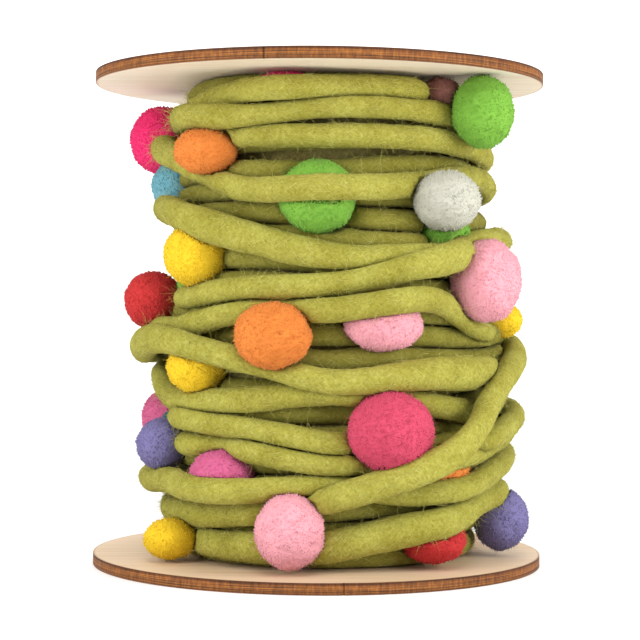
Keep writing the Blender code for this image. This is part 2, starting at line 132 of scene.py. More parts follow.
# Where a turn dives under its neighbours, or rides over them if the depth is negative: name, azimuth,
# half width in degrees, depth
DIVES = (
    ("inner_19", -80, 50, 1.2),
    ("inner_10", -42, 24, 3.5),
    ("inner_10", 84, 30, -4.2),
    ("inner_09", 84, 30, -4.2),
    ("inner_08", -30, 26, 3.0),
    ("inner_07", 8, 26, 3.5),
    ("outer_01", -82, 40, 5.0),
    ("outer_02", -88, 34, 3.5),
    ("outer_03", -78, 34, 6.0),
    ("outer_04", -92, 30, -1.2),
    ("outer_05", -90, 34, -1.6),
    ("outer_06", -84, 34, 4.5),
    ("outer_07", -90, 30, -2.5),
    ("outer_07", 78, 34, 5.5),
    ("outer_08", -90, 34, -2.0),
    ("outer_08", 88, 30, 4.0),
    ("outer_10", -88, 36, 6.0),
    ("outer_11", -86, 32, 7.0),
    ("outer_11", 88, 30, -2.2),
    ("outer_12", -90, 30, -1.0),
    ("outer_12", 6, 40, 3.0),
    ("outer_13", -80, 36, 8.0),
    ("outer_13", 84, 30, 4.5),
    ("outer_14", -90, 40, 1.1),
    ("outer_14", 180, 40, 8.0),
)
# Where the hand-rolled cord is fatter: name, azimuth, half width in degrees, share of the diameter
SWELLS = (
    ("outer_04", -90, 50, 1.2),
    ("outer_05", -40, 75, 1.38),
    ("outer_06", 30, 55, 1.3),
    ("outer_08", -80, 50, 1.25),
    ("outer_08", 50, 55, 1.5),
    ("outer_09", -30, 40, 1.12),
    ("outer_12", -80, 60, 1.12),
    ("outer_13", 10, 150, 1.36),
    ("outer_14", 40, 600, 1.14),
)


class Yarn(Enum):
    """The pompoms' yarns: name of the colour, its colour deep in the pile darkened by painted shade, and at
    the tips.
    """

    CRIMSON = ("crimson", "#c42b5b", "#e83976")
    ORANGE = ("orange", "#bc6b32", "#e08a43")
    GREEN = ("green", "#649137", "#80b448")
    WHITE = ("white", "#abaa9d", "#c2c1b3")
    SKY = ("sky", "#5a8c98", "#77aebc")
    YELLOW = ("yellow", "#c8a125", "#e8c732")
    RED = ("red", "#9e2c2c", "#c53c3c")
    PINK = ("pink", "#c68691", "#eba9b2")
    HOT_PINK = ("hot_pink", "#a85172", "#d36a93")
    RASPBERRY = ("hot_pink", "#a93e53", "#d2526c")
    VIOLET = ("violet", "#615c84", "#7e78a3")
    MAROON = ("maroon", "#714943", "#895d54")
    TEAL = ("teal", "#335a62", "#447079")

    @property
    def slot(self) -> str:
        """The record's slot for this yarn."""
        return "pompom_" + self.value[0]


# Where each pompom sits, in the order of the solids' numbers
POMPOM_ROWS = (
    # colour, azimuth, height, radius of its middle, width, tall, deep, turns laid over it
    (Yarn.CRIMSON, -106, 114.4, 47.0, 18.0, 19.0, 18.0, ()),
    (Yarn.ORANGE, -43.5, 108.0, 44.6, 16.4, 12.0, 16.0, ("outer_02",)),
    (Yarn.GREEN, 52, 118.5, 50.4, 17.0, 18.6, 15.4, ()),
    (Yarn.WHITE, 38.8, 95.6, 46.8, 17.2, 15.4, 16.5, ()),
    (Yarn.GREEN, -4, 96.2, 42.0, 19.2, 18.6, 18.0, ("outer_04",)),
    (Yarn.SKY, -92, 101.0, 40.0, 15.0, 15.0, 15.0, ("outer_04",)),
    (Yarn.YELLOW, -52, 82.0, 46.0, 16.8, 16.8, 16.0, ("outer_05",)),
    (Yarn.RED, -84, 70.2, 48.0, 15.6, 15.6, 15.6, ()),
    (Yarn.ORANGE, -17, 61.7, 49.0, 19.4, 16.6, 17.0, ()),
    (Yarn.PINK, 50.5, 75.7, 49.8, 18.4, 21.2, 18.0, ()),
    (Yarn.PINK, 17, 64.6, 44.5, 19.8, 13.6, 16.0, ("outer_07",)),
    (Yarn.YELLOW, -50, 53.2, 44.5, 15.6, 13.6, 15.0, ("outer_08",)),
    (Yarn.HOT_PINK, -95, 38.4, 43.6, 15.5, 15.5, 15.5, ()),
    (Yarn.VIOLET, -67, 32.8, 47.0, 14.0, 13.6, 14.0, ()),
    (Yarn.HOT_PINK, -37, 26.6, 44.5, 16.8, 12.4, 15.6, ("outer_12",)),
    (Yarn.RASPBERRY, 18, 38.2, 48.5, 21.6, 20.2, 19.0, ("outer_14",)),
    (Yarn.ORANGE, 40, 27.4, 44.0, 14.6, 13.0, 14.0, ("outer_11", "outer_12", "outer_14")),
    (Yarn.PINK, -12, 13.6, 48.5, 17.2, 19.0, 17.0, ()),
    (Yarn.YELLOW, -58, 9.0, 48.0, 14.0, 10.8, 14.0, ()),
    (Yarn.RED, 37, 10.2, 43.5, 16.8, 11.8, 16.0, ("outer_13",)),
    (Yarn.VIOLET, 76, 13.0, 46.6, 14.6, 16.8, 14.6, ("outer_13",)),
    (Yarn.YELLOW, 84, 65.4, 46.0, 11.4, 9.6, 11.4, ("outer_14",)),
    (Yarn.GREEN, 44, 87.2, 40.0, 13.0, 11.0, 13.0, ("outer_05", "outer_06")),
    (Yarn.CRIMSON, -16, 124.2, 36.6, 16.0, 7.4, 13.0, ("outer_01",)),
    (Yarn.MAROON, 47, 123.6, 40.0, 10.0, 8.0, 11.0, ()),
    (Yarn.GREEN, -70, 74.6, 39.0, 9.0, 8.0, 9.0, ()),
    (Yarn.TEAL, -70, 37.4, 42.0, 12.0, 8.4, 11.0, ()),
    (Yarn.SKY, 124, 98.0, 41.5, 17.0, 17.0, 16.0, ()),
    (Yarn.HOT_PINK, 117, 41.0, 44.5, 18.0, 18.0, 17.0, ()),
    (Yarn.ORANGE, 122, 111.0, 40.5, 17.0, 17.0, 16.0, ("outer_02",)),
    (Yarn.PINK, 128, 11.8, 45.0, 16.0, 16.0, 16.0, ()),
    (Yarn.YELLOW, 138, 78.0, 45.5, 17.0, 17.0, 16.0, ()),
    (Yarn.RED, 142, 57.0, 41.0, 17.0, 16.0, 16.0, ("outer_08", "outer_14")),
    (Yarn.GREEN, 152, 28.0, 46.5, 18.0, 18.0, 17.0, ()),
    (Yarn.VIOLET, 158, 101.0, 44.5, 17.0, 17.0, 17.0, ()),
    (Yarn.WHITE, 172, 68.0, 46.5, 18.0, 18.0, 17.0, ()),
    (Yarn.CRIMSON, 177, 12.0, 45.0, 16.0, 16.0, 16.0, ()),
    (Yarn.PINK, 184, 118.6, 42.0, 16.0, 16.0, 16.0, ()),
    (Yarn.HOT_PINK, 192, 88.0, 45.5, 19.0, 19.0, 17.0, ()),
    (Yarn.ORANGE, 200, 46.0, 46.5, 18.0, 18.0, 17.0, ()),
    (Yarn.SKY, 214, 70.0, 42.5, 17.0, 16.0, 16.0, ("outer_06", "outer_07")),
    (Yarn.YELLOW, 218, 24.0, 45.5, 17.0, 17.0, 16.0, ()),
    (Yarn.GREEN, 224, 104.0, 44.0, 17.0, 17.0, 16.0, ()),
    (Yarn.PINK, 238, 54.0, 46.5, 18.0, 18.0, 17.0, ()),
    (Yarn.RED, 238, 88.0, 43.0, 16.0, 16.0, 16.0, ()),
    (Yarn.ORANGE, 240, 11.0, 44.0, 15.0, 15.0, 15.0, ()),
)


# ---- Small tools ----


def linear(code: str) -> Colour:
    """An sRGB hex colour as Blender's linear colour.

    Args:
        code: the colour, such as "#c4c252".

    Returns:
        Red, green, blue and an alpha of 1, all linear.
    """
    channels = [int(code[i : i + 2], 16) / 255 for i in (1, 3, 5)]
    flat = [c / 12.92 if c <= 0.04045 else ((c + 0.055) / 1.055) ** 2.4 for c in channels]
    return (*flat, 1.0)


def feed(node: Node, inputs: Inputs) -> Node:
    """Gives a node's sockets what they take.

    Args:
        node: the node.
        inputs: by a socket's name or number, a value, another node's output, or another node, which
            stands for the first of its outputs that is in use.

    Returns:
        The node.
    """
    for name, value in inputs.items():
        if isinstance(value, Node):
            value = next(output for output in value.outputs if output.enabled)
        if isinstance(value, NodeSocket):
            node.id_data.links.new(value, node.inputs[name])
        else:
            node.inputs[name].default_value = value
    return node


def add_node(tree: NodeTree, kind: str, inputs: Inputs | None = None, **settings: Any) -> Node:
    """Adds a node to a material, with its settings and links.

    Args:
        tree: the material's node tree.
        kind: the node's type, without the "ShaderNode" in front.
        inputs: what its sockets take, as for feed.
        settings: its properties. "stops" gives a colour ramp's (position, hex colour) pairs.

    Returns:
        The new node.
    """
    node = tree.nodes.new("ShaderNode" + kind)
    for name, value in settings.items():
        if name == "stops":
            elements = node.color_ramp.elements
            while len(elements) < len(value):
                elements.new(1.0)
            for element, (position, code) in zip(elements, value):
                element.position, element.color = position, linear(code)
        else:
            setattr(node, name, value)
    return feed(node, inputs or {})


def blank_material(name: str) -> tuple[Material, Node, Callable[..., Node]]:
    """Makes a material that has nothing but its shader.

    Args:
        name: the material's name.

    Returns:
        The material, its Principled BSDF, and add_node for its own tree.
    """
    material = bpy.data.materials.new(name)
    material.use_nodes = True
    tree = material.node_tree
    return material, tree.nodes["Principled BSDF"], partial(add_node, tree)


def dress(piece: Object, *materials: Material) -> None:
    """Gives a piece these materials and no others, the first of them all over.

    Args:
        piece: the object that takes them.
        materials: what it takes, in the order of its slots.
    """
    piece.data.materials.clear()
    for material in materials:
        piece.data.materials.append(material)


def select_only(*pieces: Object) -> None:
    """Selects these pieces and nothing else, in object mode.

    Args:
        pieces: the objects, the one that becomes active first. None leaves nothing active.
    """
    for other in bpy.context.selected_objects:
        other.select_set(False)
    for piece in pieces:
        piece.select_set(True)
    bpy.context.view_layer.objects.active = pieces[0] if pieces else None


def add_shape(operator: Any, name: str, **settings: Any) -> Object:
    """Adds a primitive, names it and makes its place part of its mesh.

    Args:
        operator: the operator that adds it.
        name: the name that the object and its mesh take.
        settings: the operator's settings.

    Returns:
        The new object, selected and active.
    """
    select_only()
    operator(**settings)
    shape = bpy.context.object
    shape.name = shape.data.name = name
    bpy.ops.object.transform_apply(location=True)
    return shape


def cut_across(count: int, bottom: float) -> None:
    """Cuts the piece in edit mode level across, so that it has equal lengths.

    Args:
        count: how many lengths it gets over a height of 1.
        bottom: the height at which it starts.
    """
    for cut in range(1, count):
        bpy.ops.mesh.select_all(action="SELECT")
        bpy.ops.mesh.bisect(plane_co=(0, 0, cut / count + bottom), plane_no=(0, 0, 1))


def pick(piece: Object, kind: str, wanted: Callable[[Any], bool]) -> None:
    """Selects some faces or edges of the active piece, and leaves it in edit mode.

    Args:
        piece: the active object.
        kind: "FACE" or "EDGE".
        wanted: tells whether a face or an edge is to be selected.
    """
    bpy.ops.object.mode_set(mode="EDIT")
    bpy.ops.mesh.select_mode(type=kind)
    bpy.ops.mesh.select_all(action="DESELECT")
    bpy.ops.object.mode_set(mode="OBJECT")
    for part in piece.data.polygons if kind == "FACE" else piece.data.edges:
        part.select = wanted(part)
    bpy.ops.object.mode_set(mode="EDIT")


def apply_modifier(piece: Object, kind: str, **settings: Any) -> None:
    """Adds a modifier to a piece and applies it at once.

    Args:
        piece: the object that takes it.
        kind: the modifier's type.
        settings: its properties.
    """
    select_only(piece)
    modifier = piece.modifiers.new(kind.title(), kind)
    for name, value in settings.items():
        setattr(modifier, name, value)
    bpy.ops.object.modifier_apply(modifier=modifier.name)


def read(items: Any, name: str, numbers: Array) -> Array:
    """Fills the numbers with this property of all the items, and returns them."""
    items.foreach_get(name, numbers)
    return numbers


def read_points(mesh: Mesh) -> Array:
    """A mesh's corners, as rows of x, y and z in metres."""
    flat = read(mesh.vertices, "co", np.empty(len(mesh.vertices) * 3, np.float32))
    return flat.reshape(-1, 3).astype(float)


def write_points(mesh: Mesh, points: Array) -> None:
    """Moves a mesh's corners to these rows of x, y and z in metres."""
    mesh.vertices.foreach_set("co", points.astype(np.float32).ravel())
    mesh.update()


def loop_corners(mesh: Mesh) -> Array:
    """The corner that each face corner stands on."""
    return read(mesh.loops, "vertex_index", np.empty(len(mesh.loops), np.int32))


def write_map(mesh: Mesh, name: str, places: Array) -> None:
    """Gives a mesh a UV map of this name, with u and v for each face corner."""
    layer = mesh.uv_layers.get(name) or mesh.uv_layers.new(name=name)
    layer.data.foreach_set("uv", places.astype(np.float32).ravel())


def write_numbers(mesh: Mesh, name: str, numbers: Array) -> None:
    """Stores a number at each corner of a mesh, for its material to read."""
    layer = mesh.attributes.get(name) or mesh.attributes.new(name, "FLOAT", "POINT")
    layer.data.foreach_set("value", numbers.astype(np.float32).ravel())


def finish_piece(piece: Object, node: str) -> Object:
    """Seats a finished piece: it rides on the spool and stands for its solid.

    Args:
        piece: the finished object.
        node: the solid that it replaces.

    Returns:
        The piece.
    """
    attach(piece, BODY)
    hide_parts(node)
    return piece


def smooth_curve(knots: Sequence[float], values: Sequence[float], at: Array) -> Array:
    """A cubic curve through some values.

    Args:
        knots: where the values lie, in rising order.
        values: the values.
        at: where the curve is read.

    Returns:
        The curve's values there.
    """
    knots, values = np.asarray(knots, float), np.asarray(values, float)
    slope = np.gradient(values, knots)
    i = np.clip(np.searchsorted(knots, at, side="right") - 1, 0, len(knots) - 2)
    span = knots[i + 1] - knots[i]
    t = (at - knots[i]) / span
    start = (2 * t**3 - 3 * t**2 + 1) * values[i] + (t**3 - 2 * t**2 + t) * span * slope[i]
    end = (3 * t**2 - 2 * t**3) * values[i + 1] + (t**3 - t**2) * span * slope[i + 1]
    return start + end


def blurred(values: Array, reach: int) -> Array:
    """Values evened out along the cord.

    Args:
        values: one for each sample of the cord, in its order.
        reach: over how many samples each way.

    Returns:
        The evened values, as many as before.
    """
    weights = np.hanning(2 * reach + 3)[1:-1]
    padded = np.pad(values, reach, mode="edge")
    return np.convolve(padded, weights / weights.sum(), mode="valid")


def radians_from(azimuths: Array, azimuth: float) -> Array:
    """How far each azimuth in degrees lies from one, the short way round and in radians."""
    return np.radians((azimuths - azimuth + 180) % 360 - 180)


def form_at(height: Array) -> tuple[Array, Array]:
    """(radius, shift right) of the layer under the outer turns at this height."""
    heights, radii, shifts = zip(*FORM)
    return smooth_curve(heights, radii, height), smooth_curve(heights, shifts, height)


def pressed_rise(reach: float, distance: Array) -> Array:
    """How far a round thing is lifted by another that lies this far aside, and 0 past its reach."""
    return np.sqrt(np.maximum(reach**2 - distance**2, 0))


def cut_short(reach: Array, toward: Array, room: Array | float) -> Array:
    """The reach of spokes that a plane stops, by its distance and by each spoke's part towards it."""
    return np.minimum(reach, np.where(toward > 0, room / np.maximum(toward, 1e-3), FAR))


def spin_place(azimuth: Array, radius: Array, height: Array) -> Array:
    """Points of the winding.

    Args:
        azimuth: in degrees.
        radius: from the winding's axis, which shifts with the height.
        height: above the spool's foot.

    Returns:
        x, y and z in millimetres.
    """
    angle = np.radians(azimuth)
    across = form_at(height)[1] + radius * np.sin(angle)
    return np.stack([across, -radius * np.cos(angle), height], axis=-1)


def unit(vectors: Array) -> Array:
    """The vectors brought to a length of 1."""
    return vectors / np.maximum(np.linalg.norm(vectors, axis=-1, keepdims=True), 1e-9)


# ---- Finishes ----


@dataclass(frozen=True)
class FeltedWool:
    """Hand-rolled wool felt: matt and mottled, with short pale fibres matted in every direction."""

    name: str = "hand_rolled_wool_felt_lime"
    shade: str = "#837e30"
    body: str = "#9a9642"
    light: str = "#aaa651"
    fleck: str = "#c5c175"
    fibre_length: float = 2.4
    fibre_width: float = 0.36
    fibre_turns: tuple[float, float] = (38, -52)  # degrees from the cord's run, one each way across it
    clump: float = 0.9
    mottle: float = 8.0
    relief: float = 0.35

    def make(self) -> Material:
        """Builds the cord's material, which reads the map along the cord.

        Returns:
            The material.
        """
        material, shader, add = blank_material(self.name)
        place = add("TexCoord").outputs["Object"]
        one, other = (self.add_fibres(add, turn) for turn in self.fibre_turns)
        fibres = add("Math", {0: one, 1: other}, operation="MAXIMUM")
        fine = {"Scale": 1000 / self.clump, "Detail": 4.0, "Roughness": 0.7}
        slow = {"Scale": 1000 / self.mottle, "Detail": 2.0, "Roughness": 0.5}
        clumps = add("TexNoise", {"Vector": place, **fine})
        clouds = add("TexNoise", {"Vector": place, **slow})
        stops = ((0.28, self.shade), (0.50, self.body), (0.72, self.light))
        tones = add("ValToRGB", {"Fac": clumps}, stops=stops)
        pale = add("MapRange", {"Value": fibres, "From Min": 0.56, "From Max": 0.74, "To Max": 0.65})
        matted = add("Mix", {0: pale, 6: tones, 7: linear(self.fleck)}, data_type="RGBA")
        # The dye took unevenly: slow clouds of deeper and paler lime
        cast = add("ValToRGB", {"Fac": clouds}, stops=((0.35, "#e8e5d2"), (0.65, "#ffffff")))
        dyed = add("Mix", {0: 1.0, 6: matted, 7: cast}, data_type="RGBA", blend_type="MULTIPLY")
        height = add("Math", {0: fibres, 1: 0.6, 2: clumps}, operation="MULTIPLY_ADD")
        relief = add("Bump", {"Height": height, "Strength": 0.7, "Distance": self.relief * MM})
        feed(shader, {"Base Color": dyed, "Normal": relief, "Roughness": 0.95, "Specular IOR Level": 0.03})
        feed(shader, {"Sheen Weight": 0.03, "Sheen Roughness": 0.5})
        return material

    def add_fibres(self, add: Callable[..., Node], turn: float) -> Node:
        """Adds one set of streaks, over the map that is in centimetres along the cord.

        Args:
            add: add_node for the material's tree.
            turn: how many degrees they are turned from the cord's run.

        Returns:
            The node that draws them.
        """
        size = (self.fibre_length / 10, self.fibre_width / 10, 1)
        lie = {"Location": (turn, 0, 0), "Rotation": (0, 0, math.radians(turn)), "Scale": size}
        along = add("UVMap", uv_map="cord_run")
        run = add("Mapping", {"Vector": along, **lie}, vector_type="TEXTURE")
        return add("TexNoise", {"Vector": run, "Scale": 1.0, "Detail": 3.0, "Roughness": 0.6})


@dataclass(frozen=True)
class LooseFibre:
    """Single fibres that stand off a spun or felted yarn: each with its own tone, lighter at the tip and
    darkened towards the root by painted shade.
    """

    name: str
    root: str
    tip: str
    sheen: float = 0.05

    def make(self) -> Material:
        """Builds the fibres' material, which reads each one's tone and the way along it.

        Returns:
            The material.
        """
        material, shader, add = blank_material(self.name)
        along, tone = (
            add("Attribute", attribute_name=name).outputs["Fac"] for name in ("along", "tone")
        )
        # Each fibre's own random tone, mixed with painted shade that darkens it from the tip down to its
        # root
        mixed = add("Math", {0: tone, 1: 0.6}, operation="MULTIPLY")
        share = add("Math", {0: along, 1: 0.4, 2: mixed}, operation="MULTIPLY_ADD", use_clamp=True)
        ends = {6: linear(self.root), 7: linear(self.tip)}
        colour = add("Mix", {0: share, **ends}, data_type="RGBA")
        feed(shader, {"Base Color": colour, "Roughness": 0.9, "Specular IOR Level": 0.03})
        feed(shader, {"Sheen Weight": self.sheen, "Sheen Roughness": 0.4})
        return material


@dataclass(frozen=True)
class BirchFace:
    """Sanded bare birch veneer: pale and even, with fine straight grain and a browned line at the cut."""

    name: str = "sanded_birch_veneer"
    pale: str = "#d8c0a4"
    cream: str = "#d0b492"
    grain: str = "#be9c75"
    scorch: str = "#9e714b"
    grain_width: float = 0.9
    grain_length: float = 38.0
    cloud: float = 34.0
    scorch_width: float = 0.7
    relief: float = 0.1

    def make(self, radius: float) -> Material:
        """The veneer's material.

        Args:
            radius: the disc's radius in millimetres, where the cut lies.

        Returns:
            The material.
        """
        material, shader, add = blank_material(self.name)
        place = add("TexCoord").outputs["Object"]
        size = (1000 / self.grain_length, 1000 / self.grain_width, 40)
        drawn = add("Mapping", {"Vector": place, "Scale": size})
        fine = {"Scale": 1.0, "Detail": 4.0, "Roughness": 0.6, "Distortion": 0.25}
        lines = add("TexNoise", {"Vector": drawn, **fine})
        clouds = add("TexNoise", {"Vector": place, "Scale": 1000 / self.cloud, "Detail": 2.0})
        stops = ((0.30, self.grain), (0.44, self.cream), (0.62, self.pale))
        tones = add("ValToRGB", {"Fac": lines}, stops=stops)
        wash = add("MapRange", {"Value": clouds, "From Min": 0.35, "From Max": 0.7, "To Max": 0.5})
        veneer = add("Mix", {0: wash, 6: tones, 7: linear(self.pale)}, data_type="RGBA")
        flat = add("VectorMath", {0: place, 1: (1, 1, 0)}, operation="MULTIPLY")
        out = add("VectorMath", {0: flat}, operation="LENGTH")
        line = {"From Min": (radius - self.scorch_width) * MM, "From Max": radius * MM}
        browned = add("MapRange", {"Value": out, **line})
        faces = add("Mix", {0: browned, 6: veneer, 7: linear(self.scorch)}, data_type="RGBA")
        relief = add("Bump", {"Height": lines, "Strength": 0.18, "Distance": self.relief * MM})
        feed(shader, {"Base Color": faces, "Normal": relief, "Roughness": 0.62, "Specular IOR Level": 0.35})
        return material


@dataclass(frozen=True)
class CharredEdge:
    """Laser-cut plywood edge: toasted browns, one dark glue line, dark arrises and upright ticks."""

    name: str = "laser_cut_plywood_edge"
    char: str = "#392616"
    toast: str = "#76451c"
    amber: str = "#ab6e31"
    # What multiplies them, by share of the thickness: the glue line lies low, and the top arris is darkest
    plies: tuple[tuple[float, str], ...] = (
        (0.00, "#9a8a7c"),
        (0.22, "#ffffff"),
        (0.27, "#5a4438"),
        (0.33, "#ffffff"),
        (0.74, "#f4ece4"),
        (0.86, "#8a7468"),
        (1.00, "#5c4a40"),
    )
    tick_width: float = 0.8
    streak_length: float = 30.0
    relief: float = 0.1  # a share of the thickness

    def make(self, thickness: float) -> Material:
        """The edge's material, which reads the map round the rim.

        Args:
            thickness: the disc's thickness in millimetres.

        Returns:
            The material.
        """
        material, shader, add = blank_material(self.name)
        # The map is in centimetres round the rim and in shares of the thickness up it
        rim = add("UVMap", uv_map="rim_run")
        up = add("SeparateXYZ", {"Vector": rim}).outputs["Y"]
        ticks_at = add("Mapping", {"Vector": rim, "Scale": (10 / self.tick_width, 0.8, 1)})
        ticks = add("TexNoise", {"Vector": ticks_at, "Scale": 1.0, "Detail": 4.0, "Roughness": 0.7})
        streaks_at = add("Mapping", {"Vector": rim, "Scale": (10 / self.streak_length, 14, 1)})
        streaks = add("TexNoise", {"Vector": streaks_at, "Scale": 1.0, "Detail": 3.0})
        burnt = add("Math", {0: streaks, 1: 0.7}, operation="MULTIPLY")
        mixed = add("Math", {0: ticks, 1: 0.5, 2: burnt}, operation="MULTIPLY_ADD")
        stops = ((0.42, self.char), (0.58, self.toast), (0.74, self.amber))
        tones = add("ValToRGB", {"Fac": mixed}, stops=stops)
        plies = add("ValToRGB", {"Fac": up}, stops=self.plies)
        edge = add("Mix", {0: 0.85, 6: tones, 7: plies}, data_type="RGBA", blend_type="MULTIPLY")
        depth = self.relief * thickness * MM
        relief = add("Bump", {"Height": mixed, "Strength": 0.6, "Distance": depth})
        feed(shader, {"Base Color": edge, "Normal": relief, "Roughness": 0.7, "Specular IOR Level": 0.3})
        return material


# ---- Fibres ----


@dataclass
class Fibres:
    """Many fine fibres as one mesh: a slim three-sided cone, modelled once and repeated with its own lie.

    A fibre has a root, a direction, a length and a thickness in millimetres, and its tip is drawn aside.
    """

    name: str
    sections: int
    seed: int
    rows: tuple[float, float] = (0.0, 1.0)  # the share of the colour layout's height that they take
    margin: float = 0.12  # of each one's square in that layout
    points: Array = field(init=False)
    triangles: Array = field(init=False)

    def __post_init__(self) -> None:
        """Models the one fibre, from 0 to 1 along Z."""
        cone = add_shape(
            bpy.ops.mesh.primitive_cone_add,
            "fibre",
            vertices=3,
            radius1=1.0,
            radius2=0.0,
            depth=1.0,
            location=(0, 0, 0.5),
        )
        bpy.ops.object.mode_set(mode="EDIT")
        cut_across(self.sections, 0.0)
        bpy.ops.mesh.select_all(action="SELECT")
        bpy.ops.mesh.quads_convert_to_tris()
        bpy.ops.object.mode_set(mode="OBJECT")
        self.points = read_points(cone.data)
        self.triangles = loop_corners(cone.data).reshape(-1, 3)
        bpy.data.objects.remove(cone)
        # Fibres stay stout for most of their length
        height = self.points[:, 2]
        stout = np.sqrt(np.maximum(1 - height, 0)) / np.maximum(1 - height, 1e-6)
        self.points[:, :2] *= np.where(height < 1, stout, 0)[:, None]

    def lay(
        self, roots: Array, ways: Array, lengths: Array, radii: Array, bends: Array, tones: Array
    ) -> Object:
        """Lays the fibres and joins them into one object.

        Args:
            roots: where each starts.
            ways: the unit direction in which each leaves.
            lengths: how long each is.
            radii: half the thickness at each root.
            bends: how far each tip is drawn aside.
            tones: each one's shade, from 0 to 1.

        Returns:
            The fibres' object, with the numbers "along" and "tone" at its corners.
        """
        count = len(roots)
        rng = np.random.default_rng(self.seed)
        aside = unit(np.cross(ways, rng.normal(size=(count, 3))))
        other = np.cross(ways, aside)
        along = self.points[:, 2]
        places = roots[:, None, :]
        for way, steps in (
            (ways, along * lengths[:, None]),
            (aside, self.points[:, 0] * radii[:, None]),
            (other, self.points[:, 1] * radii[:, None]),
            (bends, (along**2)[None, :]),
        ):
            places = places + way[:, None, :] * steps[..., None]
        faces = self.triangles[None] + np.arange(count)[:, None, None] * len(self.points)
        mesh = bpy.data.meshes.new(self.name)
        mesh.from_pydata((places.reshape(-1, 3) * MM).tolist(), [], faces.reshape(-1, 3).tolist())
        mesh.polygons.foreach_set("use_smooth", np.ones(len(mesh.polygons), bool))
        write_numbers(mesh, "along", np.tile(along, count))
        write_numbers(mesh, "tone", np.repeat(tones, len(self.points)))
        write_map(mesh, BAKE_MAP, self.layout(count))
        made = bpy.data.objects.new(self.name, mesh)
        bpy.context.scene.collection.objects.link(made)
        return made

    def layout(self, count: int) -> Array:
        """Gives each fibre a small square of the colour layout, its root at the foot and its tip on top.

        Args:
            count: how many fibres there are.

        Returns:
            u and v for each face corner.
        """
        around = np.round((np.degrees(np.arctan2(self.points[:, 1], self.points[:, 0])) + 180) / 120) % 3
        u = np.where(self.points[:, 2] >= 1, 0.5, around / 2)[self.triangles]
        v = self.points[:, 2][self.triangles].copy()
        # The root's own face is level, and one of its corners is drawn up so that it has an area there
        flat = np.ptp(v, axis=1) == 0
        v[flat] += 0.25 * (u[flat] == 0.5)
        local = self.margin + (1 - 2 * self.margin) * np.stack([u, v], axis=-1)
        grid = math.ceil(math.sqrt(count))
        cell = np.stack([np.arange(count) % grid, np.arange(count) // grid], axis=-1)
        places = (cell[:, None, None, :] + local[None]) / grid
        low, high = self.rows
        places[..., 1] = low + (high - low) * places[..., 1]
        return places.reshape(-1, 2)


# ---- The wound cord ----


